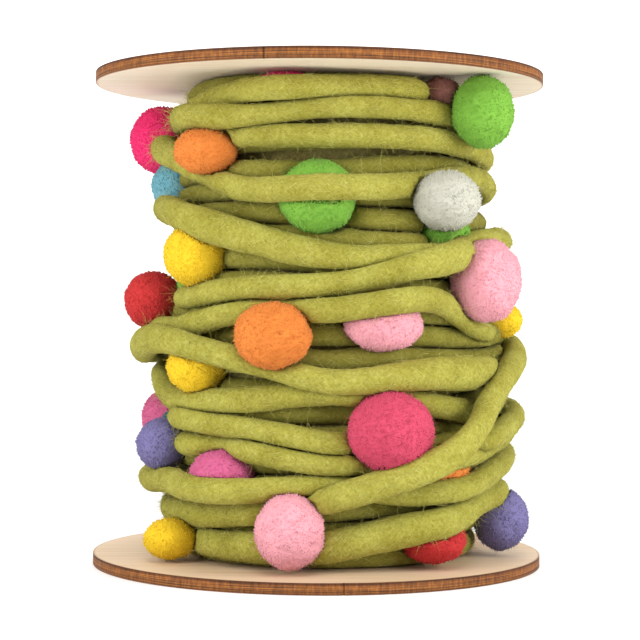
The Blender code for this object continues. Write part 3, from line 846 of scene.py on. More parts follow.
@dataclass
class Winding:
    """The wound cord: an inner layer of level turns, outer turns laid over it one by one, and its fuzz."""

    diameter: float = 6.5
    step: int = 3  # degrees between two cross-sections
    sides: int = 20
    soft_contact: float = 0.74  # pressed cords lie this share of a diameter apart
    soft_pompom: float = 0.86  # a cord sinks this far into a pompom that it crosses
    soft_disc: float = 0.9
    outer_level: float = 5.0  # how far outside the inner turns the outer ones lie at least
    slack: float = 0.9
    levelled: float = 18.0  # a turn is evened out over this many degrees each way
    rounded: float = 12.0
    nestling: float = 0.5  # the cord gives way to a pompom grown by this share of its diameter
    furthest: float = 59.4
    floor: float = 3.3
    ceiling: float = 127.7
    lumps: float = 0.05  # the hand-rolled cord swells and thins by this share
    swell_lengths: tuple[float, float] = (24.0, 8.0)  # slow swells along the cord, and quick ones
    pits: float = 0.06  # the felt's surface rises and sinks by this share of the section
    pit_size: float = 4.5
    crispness: float = 6.0  # how sharply a section turns from its round side to a pressed one
    crowding: float = 2.5  # turns more than this many diameters apart don't press each other
    closest: float = 0.8
    flattest: float = 0.15  # no spoke of a section gets shorter than this share of half the diameter
    bed_depth: float = 3.4
    bed_ridge: float = 0.9
    bed_columns: int = 72
    bed_rows: int = 96
    fibres_lying: int = 9000
    fibres_loose: int = 14000
    seed: int = 7
    azimuths: Array = field(init=False)
    heights: Array = field(init=False)
    radii: Array = field(init=False)
    spokes: Array = field(init=False)
    reach: Array = field(init=False)
    free: Array = field(init=False)
    lengths: Array = field(init=False)

    def __post_init__(self) -> None:
        """Winds the cord and presses it against its neighbours."""
        self.azimuths = np.arange(360 // self.step) * self.step - 180.0
        self.wind()
        self.give_way()
        self.press()

    @property
    def rows(self) -> list[Row]:
        """Every turn's row: name, order of laying, lift and heights."""
        return [(row[0], 0, 0.0, *row[1:]) for row in INNER_TURNS] + list(OUTER_TURNS)

    @property
    def names(self) -> list[str]:
        """Every turn's name."""
        return [row[0] for row in self.rows]

    def wind(self) -> None:
        """Works out the path of the cord's middle, turn by turn, each laid on the last."""
        rows = self.rows
        samples = len(self.azimuths)
        knots, values = [-180.0], [START_HEIGHT]
        for index, row in enumerate(rows):
            knots += [index * 360.0 + column for column in COLUMNS]
            values += row[-len(COLUMNS):]
        at = np.arange(len(rows) * samples) * self.step - 180.0
        lowest = self.floor + self.diameter / 2 * self.soft_disc
        highest = self.ceiling + self.floor - lowest
        self.heights = np.clip(smooth_curve(knots, values, at), lowest, highest).reshape(-1, samples)
        self.radii = np.zeros_like(self.heights)
        laid_before = []
        for turn in sorted(range(len(rows)), key=lambda index: rows[index][1]):
            name, laid, lift = rows[turn][:3]
            height = self.heights[turn]
            need = form_at(height)[0] + (self.outer_level + lift if laid else 0)
            for under in laid_before:
                rise = pressed_rise(self.soft_contact * self.diameter, height - self.heights[under])
                need = np.where(rise > 0, np.maximum(need, self.radii[under] + rise), need)
            for _, azimuth, middle, radius, width, _, _, over in POMPOM_ROWS:
                if name in over:
                    along = radians_from(self.azimuths, azimuth) * radius
                    reach = self.soft_pompom * (width + self.diameter) / 2
                    rise = pressed_rise(reach, np.hypot(along, height - middle))
                    need = np.where(rise > 0, np.maximum(need, radius + rise), need)
            taut = np.maximum(blurred(need, round(self.levelled / self.step)), need - self.slack)
            for dive, azimuth, width, depth in DIVES:
                if dive == name:
                    taut -= depth * self.near(azimuth, width)
            self.radii[turn] = taut
            laid_before.append(turn)
        self.smooth_radii(self.rounded)

    def near(self, azimuth: float, width: float) -> Array:
        """A soft hump over the azimuths: 1 at this azimuth, and 0 past this many degrees from it."""
        share = np.clip(1 - np.abs(self.azimuths - azimuth) / width, 0, 1)
        return share**2 * (3 - 2 * share)

    def smooth_radii(self, degrees: float) -> None:
        """Rounds the cord's bends over this many degrees each way."""
        flat = blurred(self.radii.ravel(), round(degrees / self.step))
        self.radii = flat.reshape(self.radii.shape)

    def give_way(self) -> None:
        """Draws the turns in behind the pompoms that nest in them."""
        grown = self.nestling * self.diameter
        for _, azimuth, middle, radius, width, tall, deep, over in POMPOM_ROWS:
            turned = radians_from(self.azimuths, azimuth)
            across = 2 * radius * np.sin(turned) / (width + grown)
            share = 1 - across[None, :] ** 2 - (2 * (self.heights - middle) / (tall + grown)) ** 2
            behind = radius - (deep + grown) / 2 * np.sqrt(np.maximum(share, 0)) + self.diameter / 5
            nested = np.array([name not in over for name in self.names])[:, None]
            inside = (share > 0) & (np.cos(turned) > 0)[None, :] & nested
            self.radii = np.where(inside, np.minimum(self.radii, behind), self.radii)
        self.smooth_radii(2 * self.step)

    def press(self) -> None:
        """Works out each cross-section, flattened where the cord meets other turns, pompoms and discs."""
        arc = np.radians(self.step) * self.radii
        climb = np.gradient(self.heights.ravel()).reshape(self.heights.shape) / arc
        swing = np.gradient(self.radii.ravel()).reshape(self.radii.shape) / arc
        ahead = arc * np.sqrt(1 + climb**2 + swing**2)
        self.lengths = np.concatenate([[0.0], np.cumsum(ahead.ravel())])
        slow, quick = self.swell_lengths
        swell = np.array(
            [
                noise.noise(Vector((run / slow, 3.1, 0))) + noise.noise(Vector((run / quick, 0, 9.7)))
                for run in self.lengths[:-1]
            ]
        )
        girth = np.ones_like(self.radii)
        for name, azimuth, width, share in SWELLS:
            girth[self.names.index(name)] += (share - 1) * self.near(azimuth, width)
        half = self.diameter / 2 * girth * (1 + self.lumps * swell.reshape(self.radii.shape))
        tall, wide = half * np.sqrt(1 + climb**2), half * np.sqrt(1 + swing**2)

        angles = np.radians(np.arange(self.sides) * 360 / self.sides + 180)
        self.spokes = np.stack([np.cos(angles), np.sin(angles)], axis=-1)
        c, s = self.spokes.T
        whole = 1 / np.sqrt((c / wide[..., None]) ** 2 + (s / tall[..., None]) ** 2)
        reach = (whole**-self.crispness + self.crowd(whole)) ** (-1 / self.crispness)
        reach = cut_short(reach, s, self.ceiling - self.heights[..., None])
        reach = cut_short(reach, -s, self.heights[..., None] - self.floor)
        for row in POMPOM_ROWS:
            reach = np.minimum(reach, self.until_pompom(row))
        reach = np.minimum(reach, whole)
        self.reach = np.maximum(reach, self.flattest * half[..., None])
        self.free = self.reach > UNPRESSED * whole

    def crowd(self, whole: Array) -> Array:
        """How hard the other turns press on each spoke of each cross-section.

        Args:
            whole: the spokes' reach with nothing near, for its shape.

        Returns:
            What the neighbours add to the spokes' reach to the power of -crispness.
        """
        crowd = np.zeros_like(whole)
        path = np.stack([self.radii, self.heights], axis=-1)
        for turn in range(len(path)):
            for other in range(len(path)):
                apart = path[other] - path[turn]
                gap = np.maximum(np.linalg.norm(apart, axis=-1), self.closest)[:, None]
                if other == turn or gap.min() > self.crowding * self.diameter:
                    continue
                toward = (apart / gap) @ self.spokes.T
                crowd[turn] += np.maximum(toward, 0) ** self.crispness / (gap / 2) ** self.crispness
        return crowd

    def until_pompom(self, row: Row) -> Array:
        """How far each spoke of each cross-section runs before it meets a pompom that nests in the cord.

        Args:
            row: the pompom's row.

        Returns:
            The distance for each turn, azimuth and spoke, endless where it misses.
        """
        _, azimuth, middle, radius, width, tall, deep, over = row
        turned = radians_from(self.azimuths, azimuth)
        sin, cos = np.sin(turned)[None, :, None], np.cos(turned)[None, :, None]
        c, s = self.spokes.T
        # The ball's own axes scaled to 1, and the spoke's start and step in them
        start = (
            self.radii[..., None] * sin * 2 / width,
            (self.radii[..., None] * cos - radius) * 2 / deep,
            (self.heights[..., None] - middle) * 2 / tall,
        )
        step = (c * sin * 2 / width, c * cos * 2 / deep, s * 2 / tall + 0 * sin)
        a = sum(part**2 for part in step)
        b = 2 * sum(one * part for one, part in zip(start, step))
        outside = sum(part**2 for part in start) - 1.0
        under = b**2 - 4 * a * outside
        meet = (-b - np.sqrt(np.maximum(under, 0))) / (2 * a)
        hit = (under > 0) & (meet > 0) & (outside > 0) & (cos > 0)
        limit = np.where(hit, meet, np.where((outside <= 0) & (cos > 0), 0.0, np.inf))
        limit[[name in over for name in self.names]] = np.inf
        return limit

    def surface(self) -> Array:
        """The cord's surface.

        Returns:
            For each turn, azimuth and side, x, y and z in millimetres.
        """
        outward = self.radii[..., None] + self.reach * self.spokes[:, 0]
        height = self.heights[..., None] + self.reach * self.spokes[:, 1]
        points = spin_place(self.azimuths[None, :, None] + 0 * outward, outward, height)
        over = np.linalg.norm(points[..., :2], axis=-1)
        points[..., :2] *= np.minimum(1, self.furthest / over)[..., None]
        return points

    def middles(self) -> Array:
        """The cord's middle line in millimetres, for each turn and azimuth."""
        return spin_place(self.azimuths[None, :] + 0 * self.radii, self.radii, self.heights)

    def build_turns(self, name: str, first: int, last: int) -> Object:
        """Models a run of turns: a regular coil, whose every section is then laid and pressed as it lies.

        Args:
            name: the piece's name.
            first: the first turn.
            last: the turn after the last one.

        Returns:
            The run of cord, closed at both ends.
        """
        samples, turns = len(self.azimuths), last - first
        coil = add_shape(
            bpy.ops.mesh.primitive_circle_add,
            name,
            vertices=self.sides,
            radius=self.diameter / 2 * MM,
            location=(FORM[0][1] * MM, 0, 0),
            rotation=(math.pi / 2, 0, 0),
        )
        apply_modifier(
            coil,
            "SCREW",
            steps=samples,
            render_steps=samples,
            iterations=turns,
            screw_offset=self.diameter * MM,
            use_merge_vertices=False,
        )
        surface = self.surface()
        points = surface[first:last].reshape(-1, self.sides, 3)
        follow = surface[last, 0] if last < len(surface) else points[-1]
        points = np.concatenate([points, follow[None]])
        pitted = np.array([noise.noise(Vector(point) / self.pit_size) for point in points.reshape(-1, 3)])
        middle = points.mean(axis=1, keepdims=True)
        points = middle + (points - middle) * (1 + self.pits * pitted.reshape(points.shape[:2])[..., None])
        points[..., 2] = np.clip(points[..., 2], self.floor, self.ceiling)
        write_points(coil.data, points.reshape(-1, 3) * MM)
        self.map_turns(coil.data, first, turns)
        select_only(coil)
        bpy.ops.object.mode_set(mode="EDIT")
        bpy.ops.mesh.select_mode(type="EDGE")
        bpy.ops.mesh.select_all(action="DESELECT")
        bpy.ops.mesh.select_non_manifold()
        bpy.ops.mesh.fill_holes(sides=0)
        bpy.ops.mesh.select_all(action="SELECT")
        bpy.ops.mesh.normals_make_consistent(inside=False)
        bpy.ops.object.mode_set(mode="OBJECT")
        bpy.ops.object.shade_smooth()
        return coil

    def map_turns(self, mesh: Mesh, first: int, turns: int) -> None:
        """Draws two maps on a run of turns: one in centimetres along the cord, and a strip for each turn.

        Args:
            mesh: the run's mesh, before its ends are closed.
            first: the first turn.
            turns: how many there are.
        """
        samples = len(self.azimuths)
        corners = loop_corners(mesh)
        ring, side = corners // self.sides, (corners % self.sides).astype(float)
        per_face = side.reshape(-1, 4)
        wraps = np.ptp(per_face, axis=1) > 1
        per_face[wraps] = np.where(per_face[wraps] == 0, self.sides, per_face[wraps])
        round_it = per_face.ravel() / self.sides
        run = self.lengths[ring + first * samples]
        girth = math.pi * self.diameter
        write_map(mesh, "cord_run", np.stack([run / 10, round_it * girth / 10], axis=-1))
        strip = np.repeat(ring.reshape(-1, 4).min(axis=1) // samples, 4)
        margin = 0.03
        across = (strip + margin + (1 - 2 * margin) * round_it) / turns
        write_map(mesh, BAKE_MAP, np.stack([(ring - strip * samples) / samples, across], axis=-1))

    def build_bed(self, name: str) -> Object:
        """Models what lies under the inner turns: the deeper layer, seen only down the gaps.

        Args:
            name: the piece's name.

        Returns:
            The bed, ridged as if by turns of its own.
        """
        levels = np.linspace(self.floor, self.ceiling, self.bed_rows + 1)
        bed = add_shape(
            bpy.ops.mesh.primitive_cylinder_add,
            name,
            vertices=self.bed_columns,
            radius=1.0,
            depth=1.0,
            end_fill_type="NGON",
        )
        bpy.ops.object.mode_set(mode="EDIT")
        cut_across(self.bed_rows, -0.5)
        bpy.ops.object.mode_set(mode="OBJECT")
        points = read_points(bed.data)
        level = levels[np.round((points[:, 2] + 0.5) * self.bed_rows).astype(int)]
        azimuth = np.degrees(np.arctan2(points[:, 0], -points[:, 1]))
        wave = np.cos(2 * math.pi * (level / self.diameter - azimuth / 360))
        wide = form_at(level)[0] - self.bed_depth + self.bed_ridge * wave
        write_points(bed.data, spin_place(azimuth, wide, level) * MM)
        bpy.ops.object.shade_smooth()
        return bed

    def fuzz(self, name: str, count: int, lying: bool) -> Object:
        """Grows loose fibres on the bare sides of the cord.

        Args:
            name: the piece's name.
            count: how many fibres are tried. Those that would start in a pompom are left out.
            lying: whether they lie along the surface, or stand off it.

        Returns:
            The fibres as one object.
        """
        rng = np.random.default_rng(self.seed + count)
        middles = self.middles().reshape(-1, 3)
        # Most of them grow on the outer turns and on the outward side
        weight = self.free * np.clip(0.25 + self.spokes[:, 0], 0.0, 1.0)
        weight[: len(INNER_TURNS)] *= 0.45
        chosen = rng.choice(weight.size, count, p=(weight / weight.sum()).ravel())
        ring, side = chosen // self.sides, chosen % self.sides
        points = self.surface().reshape(-1, self.sides, 3)
        next_ring = np.minimum(ring + 1, len(points) - 1)
        next_side = (side + 1) % self.sides
        s, t = rng.random((2, count, 1))
        roots = (1 - s) * ((1 - t) * points[ring, side] + t * points[ring, next_side])
        roots += s * ((1 - t) * points[next_ring, side] + t * points[next_ring, next_side])
        out = unit(roots - ((1 - s) * middles[ring] + s * middles[next_ring]))
        forward = unit(np.gradient(middles, axis=0)[ring])
        across = unit(np.cross(out, forward))
        sign = rng.choice([-1.0, 1.0], count)[:, None]
        wiggle = rng.normal(size=(count, 1))
        if lying:
            slant = np.radians(rng.normal(0, 32, count))[:, None]
            ways = unit(sign * (forward * np.cos(slant) + across * np.sin(slant)) + 0.10 * out)
            lengths = rng.uniform(2.0, 5.0, count)
            # Each keeps to the surface: it bends as the cord is round, the more the further it slants
            curl = (np.sin(slant) ** 2 / (self.diameter / 2) + np.cos(slant) ** 2 / TURN_RADIUS) / 2
            bends = -out * curl * (lengths**2)[:, None] * 0.95 + across * 0.25 * wiggle
            radii = rng.uniform(0.035, 0.06, count)
        else:
            lean = rng.uniform(0.25, 1.2, count)[:, None]
            slant = np.radians(rng.uniform(-70, 70, count))[:, None]
            ways = unit(out + lean * sign * (forward * np.cos(slant) + across * np.sin(slant)))
            # About one in seven is nearly twice as long as it would be
            lengths = (rng.gamma(3.0, 0.45, count) + 0.35) * np.where(rng.random(count) < 0.15, 1.9, 1.0)
            bends = rng.normal(size=(count, 3)) * 0.3 * lengths[:, None]
            radii = rng.uniform(0.03, 0.05, count)
        tips = roots + ways * lengths[:, None] + bends
        keep = (tips[:, 2] > self.floor) & (tips[:, 2] < self.ceiling)
        keep &= np.hypot(tips[:, 0], tips[:, 1]) < self.furthest
        keep &= outside_pompoms(roots) & outside_pompoms(tips)
        tones = rng.random(count)
        sunk = roots - 0.06 * out
        laid = (one[keep] for one in (sunk, ways, lengths, radii, bends, tones))
        return Fibres(name, 3 if lying else 2, self.seed).lay(*laid)


# ---- The pompoms ----


def pompom_frame(row: Row) -> tuple[Array, Array, Array]:
    """Where a pompom lies.

    Args:
        row: the pompom's row.

    Returns:
        Its centre, its own axes (across, outward, up) and its half sizes, in millimetres.
    """
    _, azimuth, height, radius, width, tall, deep, _ = row
    centre = spin_place(np.array(azimuth), np.array(radius), np.array(height))
    sin, cos = math.sin(math.radians(azimuth)), math.cos(math.radians(azimuth))
    axes = np.array([(cos, sin, 0), (sin, -cos, 0), (0, 0, 1)])
    return centre, axes, np.array([width, deep, tall]) / 2


def outside_pompoms(points: Array) -> Array:
    """Which points lie outside every pompom.

    Args:
        points: rows of x, y and z in millimetres.

    Returns:
        True for each that does.
    """
    clear = np.ones(len(points), bool)
    for row in POMPOM_ROWS:
        centre, axes, half = pompom_frame(row)
        local = (points - centre) @ axes.T / half
        clear &= (local**2).sum(axis=1) > 0.96
    return clear


@dataclass
class Pompom:
    """A dense ball of cut pile, squashed where the cord, a disc or another pompom presses on it."""

    number: int
    row: Row
    winding: Winding
    clearance: float = 0.1  # from what presses on it
    tuft_area: float = 0.34  # one tuft for this much surface
    tuft_radius: float = 0.5
    pile: float = 0.32  # how far the tufts stand over the ball's nominal surface, from twice as deep
    proud: float = 0.34  # how much further the longest of them stand
    sunk: float = 0.85  # the body lies this share of the pile under the surface
    combed: float = 0.45  # how far the tufts lie over together
    ruffled: float = 0.16  # how far each leans on its own
    tufted: float = 0.9  # tufts stand where the ball keeps more than this share of its reach
    wild_share: float = 0.055  # of the tufts, that have a loose hair beside them
    hair_radius: float = 0.045
    lumps: float = 0.05
    core_share: float = 0.12  # the part of the colour layout that the ball's body takes

    @property
    def yarn(self) -> Yarn:
        """The yarn that it is made of."""
        return self.row[0]

    @property
    def node(self) -> str:
        """The solid that it stands for."""
        return f"pompom_{self.number:02d}_{self.yarn.value[0]}"

    def limits(self, rays: Array, cords: BVHTree) -> tuple[Array, Array, Array]:
        """How far the ball reaches along each ray from its centre.

        Args:
            rays: unit directions in the ball's own axes, before it is squashed.
            cords: the surface of the wound cord.

        Returns:
            The unit directions in the spool's axes, the reach in millimetres, and the reach unpressed.
        """
        centre, axes, half = pompom_frame(self.row)
        spokes = (rays * half) @ axes
        shift = Vector((self.number * 3.7, 0, 0))
        lumpy = np.array([noise.noise(Vector(ray) * 2.2 + shift) for ray in rays])
        whole = np.linalg.norm(spokes, axis=1) * (1 + self.lumps * lumpy)
        ways = unit(spokes)
        reach = whole.copy()
        origin = Vector(centre * MM)
        for index, way in enumerate(ways):
            hit = cords.ray_cast(origin, Vector(way), (whole[index] + 0.5) * MM)
            if hit[0] is not None:
                reach[index] = min(reach[index], hit[3] / MM - self.clearance)
        reach = cut_short(reach, ways[:, 2], self.winding.ceiling - centre[2])
        reach = cut_short(reach, -ways[:, 2], centre[2] - self.winding.floor)
        for other in POMPOM_ROWS:
            apart = pompom_frame(other)[0] - centre
            gap = np.linalg.norm(apart)
            if other is self.row or gap > (max(self.row[4:7]) + max(other[4:7])) / 2:
                continue
            share = (gap**2 + (self.row[4] / 2) ** 2 - (other[4] / 2) ** 2) / (2 * gap)
            reach = cut_short(reach, ways @ (apart / gap), share - self.clearance)
        return ways, reach, whole

    def build(self, cords: BVHTree) -> Object:
        """Models the ball: its body, and the tufts of pile wherever nothing presses on it.

        Args:
            cords: the surface of the wound cord.

        Returns:
            The pompom, with the numbers "along" and "tone" at its corners.
        """
        rng = np.random.default_rng(1000 + self.number)
        name = f"{self.yarn.value[0]}_pompom_{self.number:02d}"
        body = add_shape(bpy.ops.mesh.primitive_ico_sphere_add, name, subdivisions=4, radius=1.0)
        centre, _, half = pompom_frame(self.row)
        rays = unit(read_points(body.data))
        ways, reach, whole = self.limits(rays, cords)
        bare = reach > UNPRESSED * whole
        write_points(body.data, (centre + ways * (reach - self.sunk * self.pile * bare)[:, None]) * MM)
        bpy.ops.object.shade_smooth()
        # The body's colour lies part way from the pile's root colour, darkened by painted shade, to its tip
        # colour
        write_numbers(body.data, "along", np.full(len(rays), 0.75))
        write_numbers(body.data, "tone", np.full(len(rays), 0.5))
        round_it = 0.5 + np.arctan2(rays[:, 0], rays[:, 1]) / (2 * math.pi)
        up_it = (0.05 + 0.45 * (1 + rays[:, 2])) * self.core_share
        write_map(body.data, BAKE_MAP, np.stack([round_it, up_it], axis=-1)[loop_corners(body.data)])

        # The tufts stand in a sunflower's spiral, a little out of place
        count = int(4 * math.pi * (half.prod() ** (2 / 3)) / self.tuft_area)
        golden = math.pi * (3 - math.sqrt(5))
        up = 1 - (2 * np.arange(count) + 1) / count
        flat = np.sqrt(1 - up**2)
        turn = golden * np.arange(count)
        rays = np.stack([flat * np.cos(turn), flat * np.sin(turn), up], axis=-1)
        rays = unit(rays + rng.normal(0, 0.35 / math.sqrt(count), (count, 3)))
        ways, reach, whole = self.limits(rays, cords)
        bare = reach > self.tufted * whole
        rays, ways, reach = rays[bare], ways[bare], reach[bare]
        shift = Vector((0, self.number * 5.3, 0))
        sweep = np.array([noise.noise_vector(Vector(ray) * 3.1 + shift) for ray in rays])
        leaning = unit(ways + self.combed * sweep + rng.normal(0, self.ruffled, (len(ways), 3)))
        lengths = 2 * self.pile + rng.uniform(-0.25, 1.0, len(ways)) * self.proud
        rows = (self.core_share, 1.0)
        tufts = Fibres("tufts", 1, 2000 + self.number, rows).lay(
            centre + ways * (reach - 2 * self.pile)[:, None],
            leaning,
            lengths,
            self.tuft_radius * rng.uniform(0.75, 1.15, len(ways)),
            rng.normal(0, 0.12, (len(ways), 3)),
            np.clip(rng.normal(0.5, 0.22, len(ways)), 0, 1),
        )
        wild = rng.random(len(ways)) < self.wild_share
        hairs = Fibres("hairs", 2, 3000 + self.number, rows).lay(
            centre + ways[wild] * (reach[wild] - 0.3)[:, None],
            unit(ways[wild] + rng.normal(0, 0.5, (wild.sum(), 3))),
            rng.uniform(0.9, 2.0, wild.sum()),
            np.full(wild.sum(), self.hair_radius),
            rng.normal(0, 0.35, (wild.sum(), 3)),
            rng.uniform(0.5, 1.0, wild.sum()),
        )
        select_only(body, tufts, hairs)
        bpy.ops.object.join()
        return body


# ---- The spool's discs ----


@dataclass
class SpoolDisc:
    """A round three-ply birch disc cut by laser, with the small nick where the beam came in."""

    node: str
    nick_azimuth: float
    segments: int = 240
    insets: tuple[float, ...] = (0.8, 6.0, 18.0)  # rings on each face, from the rim inwards
    ease: float = 0.12  # how far the arrises are rubbed down
    nick: tuple[float, float] = (0.45, 0.35)  # its width and depth

    def build(self, face: Material, edge: Material) -> Object:
        """Models the disc over its solid's place.

        Args:
            face: the veneer's material.
            edge: the cut edge's material.

        Returns:
            The disc.
        """
        low, high = (Vector(corner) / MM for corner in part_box(self.node))
        radius, thickness = (high.x - low.x) / 2, high.z - low.z
        middle = (low + high) / 2
        disc = add_shape(
            bpy.ops.mesh.primitive_cylinder_add,
            self.node.replace("disc", "plywood_disc"),
            vertices=self.segments,
            radius=radius * MM,
            depth=thickness * MM,
            location=middle * MM,
        )
        pick(disc, "FACE", lambda side: abs(side.normal.z) > 0.9)
        for inset in self.insets:
            bpy.ops.mesh.inset(thickness=inset * MM, use_individual=True)
        bpy.ops.object.mode_set(mode="OBJECT")
        sharp = math.radians(50)
        apply_modifier(
            disc, "BEVEL", width=self.ease * MM, segments=2, limit_method="ANGLE", angle_limit=sharp
        )
        self.cut_nick(disc, radius, middle.z, thickness)
        dress(disc, face, edge)
        self.map_rim(disc.data, radius, low.z, thickness)
        select_only(disc)
        bpy.ops.object.shade_smooth_by_angle(angle=math.radians(40))
        return disc

    def cut_nick(self, disc: Object, radius: float, height: float, thickness: float) -> None:
        """Cuts the beam's small upright nick into the rim.

        Args:
            disc: the disc.
            radius: its radius in millimetres.
            height: the height of its middle.
            thickness: its thickness.
        """
        width, depth = self.nick
        angle = math.radians(self.nick_azimuth)
        cutter = add_shape(bpy.ops.mesh.primitive_cube_add, "nick_cutter", size=1.0)
        cutter.scale = (width * MM, 2 * depth * MM, 2 * thickness * MM)
        cutter.location = Vector((radius * math.sin(angle), -radius * math.cos(angle), height)) * MM
        cutter.rotation_euler = (0, 0, angle)
        bpy.context.view_layer.update()
        apply_modifier(disc, "BOOLEAN", object=cutter, operation="DIFFERENCE", solver="MANIFOLD")
        bpy.data.objects.remove(cutter)

    def map_rim(self, mesh: Mesh, radius: float, bottom: float, thickness: float) -> None:
        """Gives the rim its own material and a map round it, in centimetres and shares of the thickness.

        Args:
            mesh: the disc's mesh.
            radius: its radius in millimetres.
            bottom: the height of its lower face.
            thickness: its thickness.
        """
        points = read_points(mesh) / MM
        azimuth = np.degrees(np.arctan2(points[:, 0], -points[:, 1]))
        corners = loop_corners(mesh)
        around, up = azimuth[corners], (points[:, 2][corners] - bottom) / thickness
        for polygon in mesh.polygons:
            polygon.material_index = int(abs(polygon.normal.z) < 0.75)
            turn = slice(polygon.loop_start, polygon.loop_start + polygon.loop_total)
            if np.ptp(around[turn]) > 180:
                around[turn] = np.where(around[turn] < 0, around[turn] + 360, around[turn])
        write_map(mesh, "rim_run", np.stack([np.radians(around) * radius / 10, up], axis=-1))


# ---- The studio ----


@dataclass(frozen=True)
class Softbox:
    """A soft square white light that looks at the spool. Its place and size are in metres."""

    name: str
    place: tuple[float, float, float]
    size: float
    power: float

    def hang(self, target: Vector) -> None:
        """Hangs the light.

        Args:
            target: the point that it is turned to.
        """
        light = bpy.data.lights.new(self.name, "AREA")
        light.shape = "SQUARE"
        light.size = self.size
        light.energy = self.power
        lamp = bpy.data.objects.new(self.name, light)
        lamp.location = self.place
        lamp.rotation_euler = (target - Vector(self.place)).to_track_quat("-Z", "Y").to_euler()
        bpy.context.scene.collection.objects.link(lamp)


@dataclass(frozen=True)
class Studio:
    """A plain pale table, soft light from all round and a camera at the spool's mid height, in metres."""

    camera_distance: float = 0.5
    camera_height: float = 0.0698
    camera_aside: float = 0.00057
    lens: float = 104.0
    sensor: float = 36.0
    pitch: float = -0.53
    roll: float = 0.4
    lights: tuple[Softbox, ...] = (
        Softbox("softbox_left", (-0.25, -0.23, 0.135), 0.18, 0.71),
        Softbox("softbox_right", (0.28, -0.19, 0.135), 0.18, 0.85),
        Softbox("softbox_top", (0.0, -0.72, 0.98), 0.6, 4.6),
    )
    wall_light: Softbox = Softbox("softbox_wall", (0.0, 0.5, 1.6), 1.0, 46.0)
    wall_target: tuple[float, float, float] = (0.0, 2.4, 0.6)
    world_light: float = 0.62
    table_width: float = 6.0
    table_front: float = 4.0
    wall_place: float = 0.6
    wall_bend: float = 2.2
    wall_height: float = 1.5

    def build(self) -> None:
        """Lays the table and its wall, hangs the lights and sets the camera."""
        table = add_shape(bpy.ops.mesh.primitive_plane_add, "table_sweep", size=1.0)
        self.bend_sweep(table)
        material, shader, add = blank_material("matt_white_laminate")
        place = add("TexCoord").outputs["Object"]
        cast = add("TexNoise", {"Vector": place, "Scale": 3.0, "Detail": 1.0})
        tone = add("ValToRGB", {"Fac": cast}, stops=((0.0, "#f3f2f1"), (1.0, "#f6f5f4")))
        feed(shader, {"Base Color": tone, "Roughness": 0.6, "Specular IOR Level": 0.2})
        dress(table, material)
        self.wall_light.hang(Vector(self.wall_target))

        world = bpy.data.worlds.new("studio_white")
        world.use_nodes = True
        background = world.node_tree.nodes["Background"]
        background.inputs["Color"].default_value = linear("#ffffff")
        background.inputs["Strength"].default_value = self.world_light
        bpy.context.scene.world = world
        # The plain display curve keeps the yarns as bright and as strongly coloured as they are dyed
        bpy.context.scene.view_settings.view_transform = "Standard"
        for light in self.lights:
            light.hang(Vector((0, 0, self.camera_height)))

        view = bpy.data.cameras.new("camera")
        view.lens = self.lens
        view.sensor_width = self.sensor
        view.clip_start = 0.01
        camera = bpy.data.objects.new("camera", view)
        camera.location = (self.camera_aside, -self.camera_distance, self.camera_height)
        tilt = Matrix.Rotation(math.radians(90 + self.pitch), 3, "X")
        camera.rotation_euler = (tilt @ Matrix.Rotation(math.radians(self.roll), 3, "Z")).to_euler()
        bpy.context.scene.collection.objects.link(camera)
        bpy.context.scene.camera = camera

    def bend_sweep(self, table: Object) -> None:
        """Makes a table that runs up into a wall behind the spool in one round bend.

        Args:
            table: a plane of 1 x 1.
        """
        table.scale = (self.table_width, self.table_front + self.wall_place, 1.0)
        table.location = (0, (self.wall_place - self.table_front) / 2, 0)
        select_only(table)
        bpy.ops.object.transform_apply(location=True, scale=True)
        corners = table.data.vertices
        back = self.wall_place - 0.01
        pick(table, "EDGE", lambda edge: min(corners[corner].co.y for corner in edge.vertices) > back)
        bpy.ops.mesh.spin(
            steps=64, angle=-math.pi / 2, center=(0, self.wall_place, self.wall_bend), axis=(1, 0, 0)
        )
        bpy.ops.mesh.extrude_region_move(TRANSFORM_OT_translate={"value": (0, 0, self.wall_height)})
        bpy.ops.object.mode_set(mode="OBJECT")
        bpy.ops.object.shade_smooth()


# ---- The whole spool ----


def tree_of(pieces: list[Object]) -> BVHTree:
    """One search tree over the surfaces of some pieces.

    Args:
        pieces: the objects.

    Returns:
        The tree, in metres.
    """
    points, faces = [], []
    for piece in pieces:
        first = len(points)
        points += [tuple(corner.co) for corner in piece.data.vertices]
        faces += [tuple(first + corner for corner in face.vertices) for face in piece.data.polygons]
    return BVHTree.FromPolygons(points, faces)


def report(piece: Object) -> int:
    """Logs a piece's name and size.

    Args:
        piece: the finished object.

    Returns:
        How many triangles its mesh has.
    """
    count = sum(len(polygon.vertices) - 2 for polygon in piece.data.polygons)
    log.info("%s: %d triangles", piece.name, count)
    return count


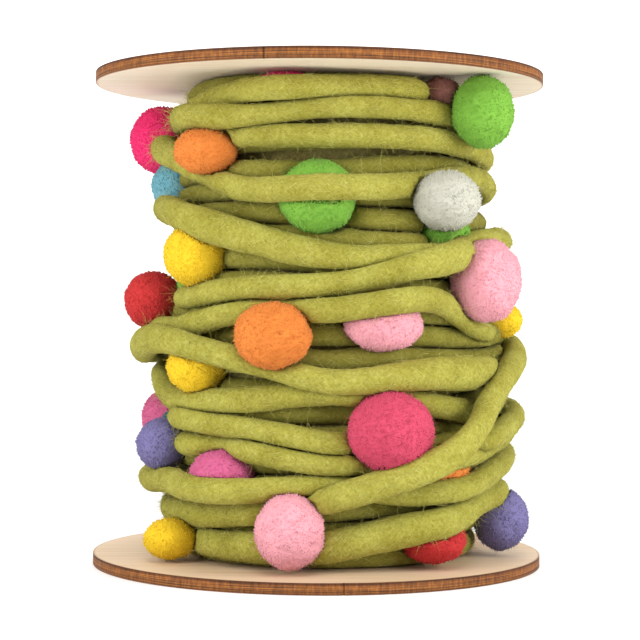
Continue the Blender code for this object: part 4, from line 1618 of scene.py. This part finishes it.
def build_cord(winding: Winding) -> list[Object]:
    """Builds the wound cord, the layer under it and its fuzz.

    Args:
        winding: the cord's path and sections.

    Returns:
        The pieces, the two runs of turns first.
    """
    wool = FeltedWool().make()
    # The inner turns take a darker copy of the lime wool: painted shade for the gaps that they lie in
    painted_shade_wool = FeltedWool("hand_rolled_wool_felt_inner_painted_shade", "#736f2c", "#868238", "#938e44", "#a39f60").make()
    # The layer under the inner turns takes a darker, browner copy of the wool: painted shade down the gaps
    deep = FeltedWool("wool_felt_deep_layer_painted_shade", "#686038", "#7e7545", "#938a52", "#a39a63").make()
    # The cord's loose fibres are darkened towards their roots by painted shade
    fuzz = LooseFibre("loose_wool_fibres", "#a9a347", "#cac579").make()
    inner = len(INNER_TURNS)
    pieces = {
        winding.build_turns("cord_inner_turns", 0, inner): painted_shade_wool,
        winding.build_turns("cord_outer_turns", inner, inner + len(OUTER_TURNS)): wool,
        winding.build_bed("cord_bed"): deep,
        winding.fuzz("cord_fibres_lying", winding.fibres_lying, lying=True): fuzz,
        winding.fuzz("cord_fibres_loose", winding.fibres_loose, lying=False): fuzz,
    }
    for piece, material in pieces.items():
        dress(piece, material)
        finish_piece(piece, "winding")
    return list(pieces)


def main() -> None:
    """Builds the studio, the discs, the cord and the pompoms, in that order, and reports each piece."""
    logging.basicConfig(level=logging.INFO, format="%(name)s %(message)s")
    noise.seed_set(NOISE_SEED)  # without it the vector noise starts from the clock
    Studio().build()

    discs = (SpoolDisc("disc_bottom", nick_azimuth=6.4), SpoolDisc("disc_top", nick_azimuth=-12.8))
    faces = (BirchFace(), BirchFace("sanded_pale_birch_veneer", "#e7dac9", "#dfcdb4", "#ccb190"))
    edge = CharredEdge().make(DISC_THICKNESS)
    for disc, veneer in zip(discs, faces):
        report(finish_piece(disc.build(veneer.make(DISC_RADIUS), edge), disc.node))

    winding = Winding()
    cords = build_cord(winding)
    for piece in cords:
        report(piece)

    surface = tree_of(cords[:2])
    piles = {
        yarn: LooseFibre(f"cut_pile_yarn_{yarn.name.lower()}", *yarn.value[1:]).make() for yarn in Yarn
    }
    total = 0
    for number, row in enumerate(POMPOM_ROWS, start=1):
        pompom = Pompom(number, row, winding)
        piece = pompom.build(surface)
        dress(piece, piles[pompom.yarn])
        total += report(finish_piece(piece, pompom.node))
    log.info("pompoms: %d triangles", total)


if __name__ == "__main__":
    main()
